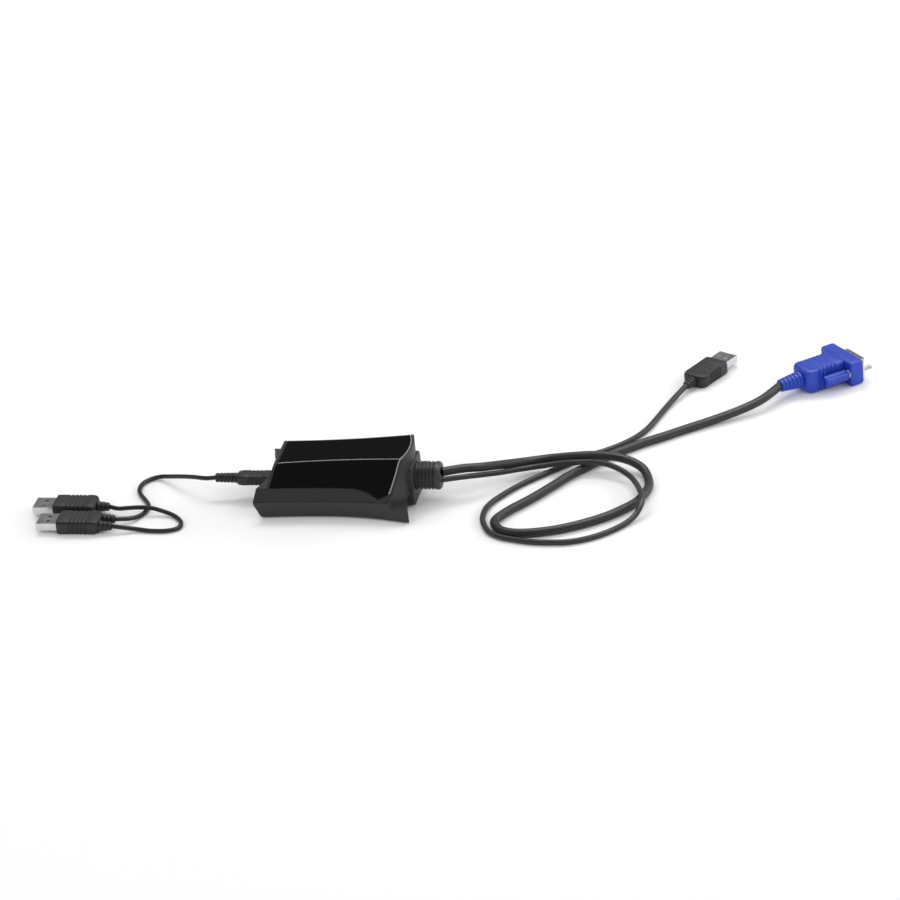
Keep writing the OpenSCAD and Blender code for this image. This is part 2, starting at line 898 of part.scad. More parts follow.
module plug_tongue() {
    length = plug_shell_sunk + plug_reach - plug_tongue_short - plug_shell_wall;
    color([0.85, 0.85, 0.83])
        translate([tail_l + plug_l - plug_shell_sunk + plug_shell_wall,
            plug_shell_wall - plug_shell_w / 2, plug_shell_wall - plug_shell_h / 2])
            cube([length, plug_shell_w - 2 * plug_shell_wall, plug_tongue_t]);
}

module plug_contacts() {
    span = (plug_contact_count - 1) * plug_contact_pitch;
    color(gold)
        for (i = [0 : plug_contact_count - 1])
            translate([tail_l + plug_l + plug_reach - plug_tongue_short - plug_contact_l - fit,
                i * plug_contact_pitch - span / 2 - plug_contact_w / 2,
                plug_shell_wall - plug_shell_h / 2 + plug_tongue_t])
                cube([plug_contact_l, plug_contact_w, plug_contact_t]);
}

module at_end(route, heading, side) {
    last = route[len(route) - 1];
    translate([last[0], last[1], plug_t / 2])
        rotate([0, 0, heading])
            translate([0, side, 0])
                children();
}

module at_kvm() {
    at_end(kvm_route, kvm_heading, 0)
        children();
}

module at_data() {
    at_end(laptop_route, left_heading, twin_offset)
        children();
}

module at_power() {
    translate([power_route[0][0], power_route[0][1], plug_t / 2])
        rotate([0, 0, left_heading])
            children();
}

module kvm_plug() {
    at_kvm() plug_body([0]);
}

module kvm_plug_shell() {
    at_kvm() plug_steel();
}

module kvm_plug_tongue() {
    at_kvm() plug_tongue();
}

module kvm_plug_contacts() {
    at_kvm() plug_contacts();
}

module data_plug() {
    at_data() plug_body([-twin_offset, twin_offset]);
}

module data_plug_shell() {
    at_data() plug_steel();
}

module data_plug_tongue() {
    at_data() plug_tongue();
}

module data_plug_contacts() {
    at_data() plug_contacts();
}

module power_plug() {
    at_power() plug_body([0]);
}

module power_plug_shell() {
    at_power() plug_steel();
}

module power_plug_tongue() {
    at_power() plug_tongue();
}

module power_plug_contacts() {
    at_power() plug_contacts();
}

// Small plug of the laptop lead, seated in its socket
module mini_plug() {
    color(plug_black)
        difference() {
            union() {
                translate([mini_tail_x, 0, socket_z])
                    bar(mini_body_l, mini_body_w, mini_body_h, mini_body_r);
                translate([mini_end_x, 0, socket_z])
                    rotate([0, 90, 0])
                        cylinder(r1 = mini_tail_tip_r, r2 = mini_tail_r, h = mini_tail_l + over);
            }
            translate([mini_face_x - mini_reach, -mini_w / 2, socket_z - mini_h / 2])
                cube([mini_reach + over, mini_w, mini_h]);
        }
}

module mini_plug_shell() {
    length = mini_reach + mini_face_gap + socket_set + mini_reach;
    color(steel)
        translate([mini_face_x - mini_reach, 0, socket_z])
            difference() {
                translate([0, -mini_w / 2, -mini_h / 2])
                    cube([length, mini_w, mini_h]);
                translate([mini_wall, mini_wall - mini_w / 2, mini_wall - mini_h / 2])
                    cube([length, mini_w - 2 * mini_wall, mini_h - 2 * mini_wall]);
            }
}

module mini_plug_insert() {
    length = 2 * mini_reach + mini_face_gap - mini_wall;
    slot_w = tongue_w + 2 * mini_slot_gap;
    slot_h = tongue_t + socket_contact_t + 2 * mini_slot_gap;
    color(plug_black)
        translate([mini_face_x - mini_reach + mini_wall, 0, socket_z])
            difference() {
                translate([0, mini_wall - mini_w / 2, mini_wall - mini_h / 2])
                    cube([length, mini_w - 2 * mini_wall, mini_h - 2 * mini_wall]);
                translate([length - mini_reach, -slot_w / 2, -tongue_t / 2 - mini_slot_gap])
                    cube([mini_reach + over, slot_w, slot_h]);
            }
}

module mini_plug_contacts() {
    span = (socket_contact_count - 1) * socket_contact_pitch;
    slot_top = tongue_t / 2 + socket_contact_t + mini_slot_gap;
    color(gold)
        for (i = [0 : socket_contact_count - 1])
            translate([mini_face_x + mini_face_gap,
                i * socket_contact_pitch - span / 2 - socket_contact_w / 2,
                socket_z + slot_top - socket_contact_t])
                cube([mini_reach - socket_set, socket_contact_w, socket_contact_t]);
}

// Video plug, along +X from its tail tip
hood_end = hood_tail_l + hood_l;
hood_core_h = hood_t * hood_core_share;

module at_video() {
    last = video_route[len(video_route) - 1];
    translate([last[0], last[1], hood_t / 2])
        rotate([0, 0, video_heading])
            children();
}

module video_hood() {
    color(hood_blue)
        at_video()
            difference() {
                union() {
                    rotate([0, 90, 0])
                        cylinder(r1 = hood_tail_tip_r, r2 = hood_tail_r, h = hood_tail_l + over);
                    translate([hood_tail_l, 0, 0])
                        bar(hood_l - ear_l + over, hood_core_w, hood_core_h, hood_r);
                    translate([hood_end - ear_l, 0, 0])
                        bar(ear_l, hood_w, hood_t, hood_r);
                }
                for (y = [-1, 1])
                    translate([hood_end - ear_l - over, y * jack_pitch / 2, 0])
                        rotate([0, 90, 0])
                            cylinder(d = jack_d + 2 * jack_gap, h = ear_l + 2 * over);
            }
}

function d_outline(width, height, slope) = [
    [-width / 2, height / 2], [width / 2, height / 2],
    [width / 2 - slope, -height / 2], [slope - width / 2, -height / 2]
];

module d_bar(width, height, slope, length) {
    rotate([90, 0, 90])
        linear_extrude(length)
            polygon(d_outline(width, height, slope));
}

module video_plug_shell() {
    color(steel)
        at_video()
            translate([hood_end, 0, 0])
                difference() {
                    union() {
                        translate([0, -flange_w / 2, -flange_h / 2])
                            cube([flange_t, flange_w, flange_h]);
                        d_bar(shell_w, shell_h, shell_slope, shell_reach);
                    }
                    translate([-over, 0, 0])
                        d_bar(shell_w - 2 * shell_wall, shell_h - 2 * shell_wall, shell_slope,
                            shell_reach + 2 * over);
                    for (y = [-1, 1])
                        translate([-over, y * jack_pitch / 2, 0])
                            rotate([0, 90, 0])
                                cylinder(d = jack_d + 2 * jack_gap, h = flange_t + 2 * over);
                }
}

module at_pins() {
    middle = (pin_count - 1) / 2;
    for (row = [-1 : 1], i = [0 : pin_count - 1])
        translate([0, (i - middle + row * pin_shift_share) * pin_pitch, row * row_pitch])
            rotate([0, 90, 0])
                children();
}

module video_insulator() {
    color(hood_blue)
        at_video()
            translate([hood_end, 0, 0])
                difference() {
                    d_bar(shell_w - 2 * shell_wall, shell_h - 2 * shell_wall, shell_slope, insulator_t);
                    translate([-over, 0, 0])
                        at_pins()
                            cylinder(r = pin_r, h = insulator_t + 2 * over, $fn = 24);
                }
}

module video_pins() {
    color(gold)
        at_video()
            translate([hood_end, 0, 0])
                at_pins()
                    cylinder(r = pin_r, h = shell_reach - pin_short, $fn = 24);
}

// Jackscrews run through the ears; each knob stands behind its ear
module at_jack(side) {
    at_video()
        translate([hood_end - ear_l, side * jack_pitch / 2, 0])
            rotate([0, 90, 0])
                children();
}

module thumb_knob(side) {
    color(hood_blue)
        at_jack(side)
            translate([0, 0, knob_front - knob_l])
                difference() {
                    cylinder(d = knob_d, h = knob_l);
                    for (i = [0 : knob_grooves - 1])
                        rotate([0, 0, 360 * i / knob_grooves])
                            translate([knob_d / 2, 0, -over])
                                cylinder(r = groove_r, h = knob_l + 2 * over, $fn = 16);
                    translate([0, 0, knob_l / 2])
                        cylinder(d = shank_d, h = knob_l);
                }
}

module jackscrew(side) {
    color(steel)
        at_jack(side) {
            translate([0, 0, knob_front - knob_l / 2])
                cylinder(d = shank_d, h = knob_l / 2 - knob_front + ear_l + jack_tip - thread_l);
            translate([0, 0, ear_l + jack_tip - thread_l])
                cylinder(d = jack_d, h = thread_l);
        }
}

module retainer(side) {
    color(steel)
        at_jack(side)
            translate([0, 0, -retainer_t - fit])
                difference() {
                    cylinder(r = retainer_r, h = retainer_t);
                    translate([0, 0, -over])
                        cylinder(d = shank_d + 2 * retainer_gap, h = retainer_t + 2 * over);
                }
}

module left_retainer() {
    retainer(1);
}

module left_jackscrew() {
    jackscrew(1);
}

module left_thumb_knob() {
    thumb_knob(1);
}

module right_retainer() {
    retainer(-1);
}

module right_jackscrew() {
    jackscrew(-1);
}

module right_thumb_knob() {
    thumb_knob(-1);
}

bottom_shell();
top_shell();
gloss_cover();
rubber_feet();
housing_screws();
circuit_board();
socket_shell();
socket_insert();
socket_contacts();
video_chip();
memory_chip();
usb_chip();
crystal_can();
capacitors();
chip_resistors();
video_header();
usb_header();
video_header_plug();
usb_header_plug();
video_wires();
usb_wires();
strain_relief();
video_cable();
video_hood();
video_plug_shell();
video_insulator();
video_pins();
left_retainer();
left_jackscrew();
left_thumb_knob();
right_retainer();
right_jackscrew();
right_thumb_knob();
kvm_cable();
kvm_plug();
kvm_plug_shell();
kvm_plug_tongue();
kvm_plug_contacts();
mini_plug();
mini_plug_shell();
mini_plug_insert();
mini_plug_contacts();
laptop_cord();
data_plug();
data_plug_shell();
data_plug_tongue();
data_plug_contacts();
power_cord();
power_plug();
power_plug_shell();
power_plug_tongue();
power_plug_contacts();
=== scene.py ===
import json
import math
import bmesh
import bpy
from mathutils import Matrix, Vector


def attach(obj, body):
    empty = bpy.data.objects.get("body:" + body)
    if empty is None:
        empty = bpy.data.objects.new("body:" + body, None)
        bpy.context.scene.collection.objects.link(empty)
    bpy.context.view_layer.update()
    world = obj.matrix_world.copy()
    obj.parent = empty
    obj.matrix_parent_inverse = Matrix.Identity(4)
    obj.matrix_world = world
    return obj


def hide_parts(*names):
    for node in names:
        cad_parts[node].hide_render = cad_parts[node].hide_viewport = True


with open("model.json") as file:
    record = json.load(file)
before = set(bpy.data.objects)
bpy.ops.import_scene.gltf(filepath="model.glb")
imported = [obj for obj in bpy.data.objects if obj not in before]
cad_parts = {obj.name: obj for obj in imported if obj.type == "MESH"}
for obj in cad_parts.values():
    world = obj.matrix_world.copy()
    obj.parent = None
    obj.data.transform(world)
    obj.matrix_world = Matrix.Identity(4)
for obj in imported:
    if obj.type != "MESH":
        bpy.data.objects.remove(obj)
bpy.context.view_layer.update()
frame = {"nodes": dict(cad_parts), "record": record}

mm = 0.001
nodes = frame["nodes"]
print("frame loaded:", len(nodes), "solids")


# Numbers that change over a surface: Python sums on these add Math nodes
class Number:
    def __init__(self, finish, socket):
        self.finish = finish
        self.socket = socket

    def sum(self, operation, *values):
        made = self.finish.add("ShaderNodeMath", {"operation": operation}, dict(enumerate(values)))
        return Number(self.finish, made.outputs[0])

    def __add__(self, other):
        return self.sum("ADD", self, other)

    def __radd__(self, other):
        return self.sum("ADD", other, self)

    def __sub__(self, other):
        return self.sum("SUBTRACT", self, other)

    def __rsub__(self, other):
        return self.sum("SUBTRACT", other, self)

    def __mul__(self, other):
        return self.sum("MULTIPLY", self, other)

    def __rmul__(self, other):
        return self.sum("MULTIPLY", other, self)

    def __pow__(self, other):
        return self.sum("POWER", self, other)

    def above(self, edge):
        return self.sum("GREATER_THAN", self, edge)


# A material: one shader, and one method that adds any other node
class Finish:
    def __init__(self, name, **fixed):
        self.material = bpy.data.materials.new(name)
        self.material.use_nodes = True
        self.nodes = self.material.node_tree.nodes
        self.links = self.material.node_tree.links
        self.nodes.clear()
        self.shader = self.add("ShaderNodeBsdfPrincipled")
        self.add("ShaderNodeOutputMaterial", {}, {"Surface": self.shader.outputs[0]})
        self.place = self.add("ShaderNodeTexCoord").outputs["Object"]
        for words, value in fixed.items():
            self.put(self.shader, words.replace("_", " "), value)

    def add(self, kind, settings=None, sockets=None):
        made = self.nodes.new(kind)
        for name, value in (settings or {}).items():
            if name == "stops":
                ramp = made.color_ramp.elements
                while len(ramp) < len(value):
                    ramp.new(0.5)
                for stop, (position, level) in zip(ramp, value):
                    stop.position = position
                    stop.color = (level, level, level, 1)
            else:
                setattr(made, name, value)
        for name, value in (sockets or {}).items():
            self.put(made, name, value)
        return made

    def put(self, made, name, value):
        socket = made.inputs[name]
        if isinstance(value, Number):
            value = value.socket
        if isinstance(value, bpy.types.NodeSocket):
            self.links.new(value, socket)
        elif isinstance(value, (tuple, list)) and socket.type == "RGBA":
            socket.default_value = (*value, 1)
        else:
            socket.default_value = value

    def noise(self, grain, detail=2.0, stretch=(1, 1, 1)):
        spread = self.add("ShaderNodeMapping", {}, {"Vector": self.place, "Scale": stretch})
        made = self.add("ShaderNodeTexNoise", {"noise_dimensions": "3D"},
                        {"Vector": spread.outputs[0], "Scale": 1 / (grain * mm), "Detail": detail})
        return Number(self, made.outputs["Fac"])

    def cells(self, grain, feature="F1"):
        made = self.add("ShaderNodeTexVoronoi", {"feature": feature},
                        {"Vector": self.place, "Scale": 1 / (grain * mm)})
        return Number(self, made.outputs["Distance"])

    def ramp(self, value, *stops):
        made = self.add("ShaderNodeValToRGB", {"stops": stops}, {"Fac": value})
        return Number(self, made.outputs["Color"])

    def axis(self, name):
        split = self.add("ShaderNodeSeparateXYZ", {}, {"Vector": self.place})
        return Number(self, split.outputs[name])

    def blend(self, share, low, high):
        made = self.add("ShaderNodeMix", {"data_type": "RGBA"}, {0: share, 6: low, 7: high})
        return made.outputs[2]

    def bump(self, height, depth, strength=1.0):
        made = self.add("ShaderNodeBump", {},
                        {"Height": height, "Distance": depth * mm, "Strength": strength})
        self.put(self.shader, "Normal", made.outputs[0])
        return self


# The case: the same lines as the solids, with rounded edges
case = {
    "length": 87.5, "height": 32, "topFall": 4.4,
    "waist": {"foot": 24.3, "belt": 26.5, "shoulder": 22.3, "crease": 13.5},
    "flare": {"foot": 7.5, "belt": 2.4, "shoulder": 2.4, "crease": 2.6},
    "leftFlare": 1.8, "waistShare": 0.45,
    "footZ": 0.8, "beltZ": 10.4, "shoulderZ": 17.6, "partingZ": 11, "seam": 0.06,
    "wall": 2, "cover": 1.3, "coverGap": 0.15,
    "rightScoop": 4.6, "leftScoop": 6.5, "footLean": 3.4, "tipLean": 0.8, "tipPower": 6,
    "upperStep": 7.6, "upperLean": 4.6, "bulge": 43, "bulgeSet": 0.35, "ledgeZ": 7.4,
    "creaseInShare": 0.45, "shoulderDropShare": 0.4,
    "rounding": {"foot": 0.9, "belt": 1.4, "shoulder": 0.8, "crease": 2.6},
    "edge": 0.28, "coverRound": 0.6,
    "boardLow": 8, "boardTop": 9.6,
    "post": {"x": 25.75, "y": 13.5, "radius": 3.2, "foot": 1.8, "top": 22.5},
    "screw": {"radius": 1.45, "top": 9, "headRadius": 2.7, "headTop": 2.9,
              "pilotRadius": 1.25, "pilotTop": 17.1},
    "pad": {"x": 33.75, "y": 17.5, "radius": 4, "top": 1.3},
    "collar": {"reach": 0.6, "width": 24.5, "top": 24, "corner": 3, "soft": 0.3},
    "socket": {"width": 7.7, "height": 4, "z": 11.6, "spare": 0.2},
    "past": 80, "beside": 60, "under": 1, "short": 0.15,
}
coverEdge = {
    "left": 9.2, "z": 17.2, "tipZ": 12.2,
    "startShare": 0.645, "bendShare": 0.735, "tipShare": 0.81, "endShare": 0.92,
    "bendDropShare": 0.36, "endDropShare": 0.14,
}
halfLength = case["length"] / 2
farHalf = case["waist"]["foot"] + case["flare"]["foot"]
nearHalf = case["waist"]["belt"] + case["leftFlare"]
tipDepth = case["rightScoop"] + case["tipLean"]
scoopRight = (farHalf ** 2 + tipDepth ** 2) / (2 * tipDepth)
scoopLeft = (nearHalf ** 2 + case["leftScoop"] ** 2) / (2 * case["leftScoop"])
rightX = halfLength - case["rightScoop"]
leftX = case["leftScoop"] - halfLength
bulgeX = halfLength - case["bulgeSet"]
collarX = bulgeX + case["collar"]["reach"]
upperSlope = case["upperLean"] / (case["height"] - case["shoulderZ"])

# Camera
view = {
    "turn": 13,          # degrees round the object from straight in front
    "tilt": 27,          # degrees above the horizon
    "roll": 5.7,         # degrees, the photograph leans a little
    "distance": 2.25,
    "width": 0.5,        # what the frame spans at the object
    "aimRight": 0.060,   # from the middle of the case to the middle of the picture
    "aimUp": 0.026,
}


def makeCamera():
    turn, tilt, roll = (math.radians(view[name]) for name in ("turn", "tilt", "roll"))
    ahead = Vector((-math.sin(turn) * math.cos(tilt), math.cos(turn) * math.cos(tilt), -math.sin(tilt)))
    level = Vector((math.cos(turn), math.sin(turn), 0))
    rise = level.cross(ahead)
    right = math.cos(roll) * level - math.sin(roll) * rise
    up = math.sin(roll) * level + math.cos(roll) * rise
    data = bpy.data.cameras.new("camera")
    data.lens = data.sensor_width * view["distance"] / view["width"]
    data.clip_end = 20
    camera = bpy.data.objects.new("camera", data)
    bpy.context.scene.collection.objects.link(camera)
    middle = right * view["aimRight"] + up * view["aimUp"]
    turned = Matrix((right, up, -ahead)).transposed().to_4x4()
    camera.matrix_world = Matrix.Translation(middle - ahead * view["distance"]) @ turned
    bpy.context.scene.camera = camera


makeCamera()


# Meshes: everything below is written in millimetres and stored in metres
def makeObject(name, points, faces, smooth=35):
    mesh = bpy.data.meshes.new(name)
    mesh.from_pydata([Vector(p) * mm for p in points], [], faces)
    mesh.validate()
    piece = bpy.data.objects.new(name, mesh)
    bpy.context.scene.collection.objects.link(piece)
    tidyMesh(piece, smooth)
    return piece


def tidyMesh(piece, smooth=35, join=0.002):
    form = bmesh.new()
    form.from_mesh(piece.data)
    bmesh.ops.remove_doubles(form, verts=form.verts, dist=join * mm)
    bmesh.ops.dissolve_degenerate(form, edges=form.edges, dist=join * mm)
    bmesh.ops.recalc_face_normals(form, faces=form.faces)
    form.to_mesh(piece.data)
    form.free()
    piece.data.shade_smooth()
    piece.data.set_sharp_from_angle(angle=math.radians(smooth))


def applied(piece):
    graph = bpy.context.evaluated_depsgraph_get()
    mesh = bpy.data.meshes.new_from_object(piece.evaluated_get(graph))
    piece.modifiers.clear()
    old = piece.data
    piece.data = mesh
    bpy.data.meshes.remove(old)
    return piece


def shaped(piece, kind, **settings):
    modifier = piece.modifiers.new(kind.lower(), kind)
    for name, value in settings.items():
        setattr(modifier, name, value)
    return applied(piece)


def cut(piece, tool, operation="DIFFERENCE"):
    shaped(piece, "BOOLEAN", operation=operation, object=tool, solver="MANIFOLD")
    bpy.data.objects.remove(tool)
    return piece


# Rounded edges. Where short edges would stop the rounding, those under a given length go first
def edged(piece, width, segments=2, angle=30, smooth=35, short=None):
    form = bmesh.new()
    form.from_mesh(piece.data)
    bmesh.ops.dissolve_limit(form, angle_limit=math.radians(0.1), verts=form.verts, edges=form.edges)
    if short:
        bmesh.ops.dissolve_degenerate(form, edges=form.edges, dist=short * mm)
    form.to_mesh(piece.data)
    form.free()
    shaped(piece, "BEVEL", width=width * mm, segments=segments, limit_method="ANGLE",
           angle_limit=math.radians(angle), use_clamp_overlap=not short, harden_normals=False)
    tidyMesh(piece, smooth)
    return shaped(piece, "WEIGHTED_NORMAL", keep_sharp=True)


def joined(name, *parts):
    form = bmesh.new()
    for part in parts:
        form.from_mesh(part.data)
    keep = parts[0]
    form.to_mesh(keep.data)
    form.free()
    for part in parts[1:]:
        bpy.data.objects.remove(part)
    keep.name = name
    keep.data.shade_smooth()
    keep.data.set_sharp_from_angle(angle=math.radians(35))
    return keep


# A stack of equal rings, closed at both ends
def loft(name, rings, smooth=35):
    count = len(rings[0])
    faces = [tuple(reversed(range(count)))]
    for i in range(len(rings) - 1):
        low, high = i * count, (i + 1) * count
        for j in range(count):
            k = (j + 1) % count
            faces.append((low + j, low + k, high + k, high + j))
    last = (len(rings) - 1) * count
    faces.append(tuple(range(last, last + count)))
    return makeObject(name, [p for ring in rings for p in ring], faces, smooth)


# A rounded rectangle across the X axis
def section(x, width, height, corner, centre=(0, 0), steps=5):
    corner = min(corner, width / 2, height / 2)
    ring = []
    for quarter in range(4):
        side = (1 if quarter in (0, 3) else -1, 1 if quarter < 2 else -1)
        for i in range(steps + 1):
            turn = math.pi / 2 * (quarter + i / steps)
            ring.append((x, centre[0] + side[0] * (width / 2 - corner) + corner * math.cos(turn),
                         centre[1] + side[1] * (height / 2 - corner) + corner * math.sin(turn)))
    return ring


# A ring across the X axis whose radius can wave in and out
def circle(x, radius, count=40, waves=0, depth=0, centre=(0, 0), phase=0):
    ring = []
    for i in range(count):
        turn = 2 * math.pi * i / count
        reach = radius - depth * (0.5 - 0.5 * math.cos(waves * turn - phase))
        ring.append((x, centre[0] + reach * math.cos(turn), centre[1] + reach * math.sin(turn)))
    return ring


def block(name, low, high):
    corners = [(x, y, z) for x in (low[0], high[0]) for y in (low[1], high[1]) for z in (low[2], high[2])]
    faces = [(0, 1, 3, 2), (4, 6, 7, 5), (0, 4, 5, 1), (2, 3, 7, 6), (0, 2, 6, 4), (1, 5, 7, 3)]
    return makeObject(name, corners, faces)


def rod(name, start, radius, length, axis="z", count=48):
    rings = []
    for along in (0, length):
        ring = circle(along, radius, count)
        if axis == "z":
            ring = [(y, z, x) for x, y, z in ring]
        rings.append([tuple(a + b for a, b in zip(start, point)) for point in ring])
    return loft(name, rings)


def moved(piece, place, heading=0):
    turned = Matrix.Rotation(math.radians(heading), 4, "Z")
    piece.data.transform(Matrix.Translation(Vector(place) * mm) @ turned)
    return piece


def placed(piece, body, *replaced, slot=None):
    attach(piece, body)
    if replaced:
        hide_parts(*replaced)
    return piece


# Finishes
def caseFinish():
    look = {"dark": (0.019, 0.019, 0.021), "light": (0.031, 0.031, 0.034)}
    finish = Finish("caseGrain", Roughness=0.5, Specular_IOR_Level=0.38)
    grain = finish.noise(0.35, 3)
    cloud = finish.noise(22, 2)
    tone = cloud * 0.6 + grain * 0.4
    finish.put(finish.shader, "Base Color", finish.blend(tone, look["dark"], look["light"]))
    finish.put(finish.shader, "Roughness", 0.42 + grain * 0.2)
    return finish.bump(grain, 0.05).material


# The cover's rim at the cable end gets a painted highlight: a paler line laid into the base colour by a
# position mask
def glossFinish():
    look = {"black": (0.004, 0.004, 0.005), "dust": (0.018, 0.018, 0.020), "rim": (0.42, 0.42, 0.44)}
    finish = Finish("pianoGloss", Specular_IOR_Level=0.5, Coat_Roughness=0.03)
    smear = finish.noise(14, 3, (1, 2.5, 1))
    dust = finish.ramp(finish.cells(1.6), (0.0, 1.0), (0.05, 0.0))
    out = finish.axis("X") - (bulgeX - case["bulge"]) * mm
    reach = (out ** 2 + finish.axis("Y") ** 2) ** 0.5
    edge = case["bulge"] - case["cover"] - case["coverGap"] - case["coverRound"]
    # rim masks the cable-end rim of the cover, where the painted highlight goes
    rim = reach.above(edge * mm) * finish.axis("X").above(0)
    worn = finish.blend(dust * 0.5, look["black"], look["dust"])
    # Painted highlight: inside the rim mask the base colour is lifted towards look["rim"]
    finish.put(finish.shader, "Base Color", finish.blend(rim * 0.8, worn, look["rim"]))
    finish.put(finish.shader, "Roughness", 0.05 + smear * 0.05 + dust * 0.2 + rim * 0.2)
    return finish.bump(smear, 0.01, 0.4).material


def jacketFinish(name, dark, light, grain):
    finish = Finish(name, Specular_IOR_Level=0.45)
    fine = finish.noise(grain, 3)
    scuff = finish.ramp(finish.noise(9, 4), (0.45, 0.0), (0.75, 1.0))
    finish.put(finish.shader, "Base Color", finish.blend(fine * 0.6 + scuff * 0.4, dark, light))
    finish.put(finish.shader, "Roughness", 0.36 + fine * 0.16 + scuff * 0.08)
    return finish.bump(fine, 0.04).material


def plugFinish():
    finish = Finish("plugMould", Specular_IOR_Level=0.45)
    grain = finish.noise(0.3, 3)
    finish.put(finish.shader, "Base Color", finish.blend(grain, (0.010, 0.010, 0.012), (0.022, 0.022, 0.025)))
    finish.put(finish.shader, "Roughness", 0.4 + grain * 0.2)
    return finish.bump(grain, 0.04).material


def blueFinish():
    look = {"deep": (0.005, 0.028, 0.34), "bright": (0.010, 0.062, 0.56)}
    finish = Finish("videoBlue", Specular_IOR_Level=0.5)
    grain = finish.noise(0.6, 4)
    cloud = finish.noise(6, 2)
    tone = cloud * 0.7 + grain * 0.3
    finish.put(finish.shader, "Base Color", finish.blend(tone, look["deep"], look["bright"]))
    finish.put(finish.shader, "Roughness", 0.34 + grain * 0.2)
    return finish.bump(grain, 0.06).material


def metalFinish(name, dark, light, rough, stretch=(1, 12, 12)):
    finish = Finish(name, Metallic=1.0)
    brushed = finish.noise(0.5, 3, stretch)
    stain = finish.noise(5, 3)
    finish.put(finish.shader, "Base Color", finish.blend(stain * 0.6 + brushed * 0.4, dark, light))
    finish.put(finish.shader, "Roughness", rough + brushed * 0.12 + stain * 0.06)
    return finish.bump(brushed, 0.01).material


def mouldedFinish(name, dark, light, rough, grain=0.4):
    finish = Finish(name)
    fine = finish.noise(grain, 3)
    cloud = finish.noise(grain * 12, 2)
    finish.put(finish.shader, "Base Color", finish.blend(cloud * 0.5 + fine * 0.5, dark, light))
    finish.put(finish.shader, "Roughness", rough + fine * 0.15)
    return finish.bump(fine, 0.03).material


def boardFinish():
    look = {"mask": (0.008, 0.10, 0.04), "trace": (0.02, 0.19, 0.08), "pad": (0.62, 0.60, 0.52)}
    finish = Finish("boardMask", Specular_IOR_Level=0.5)
    track = finish.add("ShaderNodeTexBrick", {"offset": 0.37, "squash": 1.6},
                       {"Vector": finish.place, "Scale": 1 / (7 * mm), "Mortar Size": 0.035,
                        "Color1": (0, 0, 0), "Color2": (0, 0, 0), "Mortar": (1, 1, 1)})
    traces = Number(finish, track.outputs["Color"])
    vias = 1 - finish.cells(3.2).above(0.11)
    coloured = finish.blend(traces, look["mask"], look["trace"])
    finish.put(finish.shader, "Base Color", finish.blend(vias, coloured, look["pad"]))
    finish.put(finish.shader, "Roughness", 0.3 + finish.noise(0.8) * 0.15)
    return finish.bump(traces + vias, 0.03).material


finishes = {
    "case_plastic": caseFinish(),
    "cover_gloss": glossFinish(),
    "foot_rubber": mouldedFinish("footRubber", (0.012, 0.012, 0.013), (0.028, 0.028, 0.028), 0.7, 0.5),
    "screw_steel": metalFinish("screwPlate", (0.42, 0.43, 0.45), (0.62, 0.63, 0.65), 0.24),
    "board_green": boardFinish(),
    "shell_steel": metalFinish("shellPlate", (0.52, 0.53, 0.55), (0.72, 0.73, 0.75), 0.2),
    "insert_black": mouldedFinish("insertBlack", (0.012, 0.012, 0.013), (0.024, 0.024, 0.026), 0.45),
    "contact_gold": metalFinish("contactGold", (0.70, 0.48, 0.16), (0.88, 0.66, 0.30), 0.18),
    "chip_black": mouldedFinish("chipEpoxy", (0.010, 0.010, 0.011), (0.022, 0.022, 0.024), 0.55, 0.2),
    "can_aluminium": metalFinish("canAluminium", (0.62, 0.63, 0.65), (0.80, 0.81, 0.83), 0.3),
    "header_ivory": mouldedFinish("headerNylon", (0.66, 0.62, 0.50), (0.78, 0.75, 0.64), 0.45),
    "wire_sleeve": mouldedFinish("wireSleeve", (0.02, 0.02, 0.022), (0.07, 0.07, 0.075), 0.6, 0.7),
    "relief_rubber": jacketFinish("reliefRubber", (0.020, 0.020, 0.022), (0.036, 0.036, 0.039), 0.4),
    "cable_jacket": jacketFinish("cableJacket", (0.016, 0.016, 0.018), (0.030, 0.030, 0.033), 0.5),
    "lead_jacket": jacketFinish("leadJacket", (0.008, 0.008, 0.009), (0.018, 0.018, 0.020), 0.4),
    "video_blue": blueFinish(),
    "plug_black": plugFinish(),
    "tongue_white": mouldedFinish("tongueWhite", (0.62, 0.62, 0.60), (0.76, 0.76, 0.74), 0.4),
}
for part in frame["record"]["subparts"]:
    data = nodes[part["node"]].data
    data.materials.clear()
    data.materials.append(finishes[part["material_slot"]])
print("finishes made:", len(finishes))


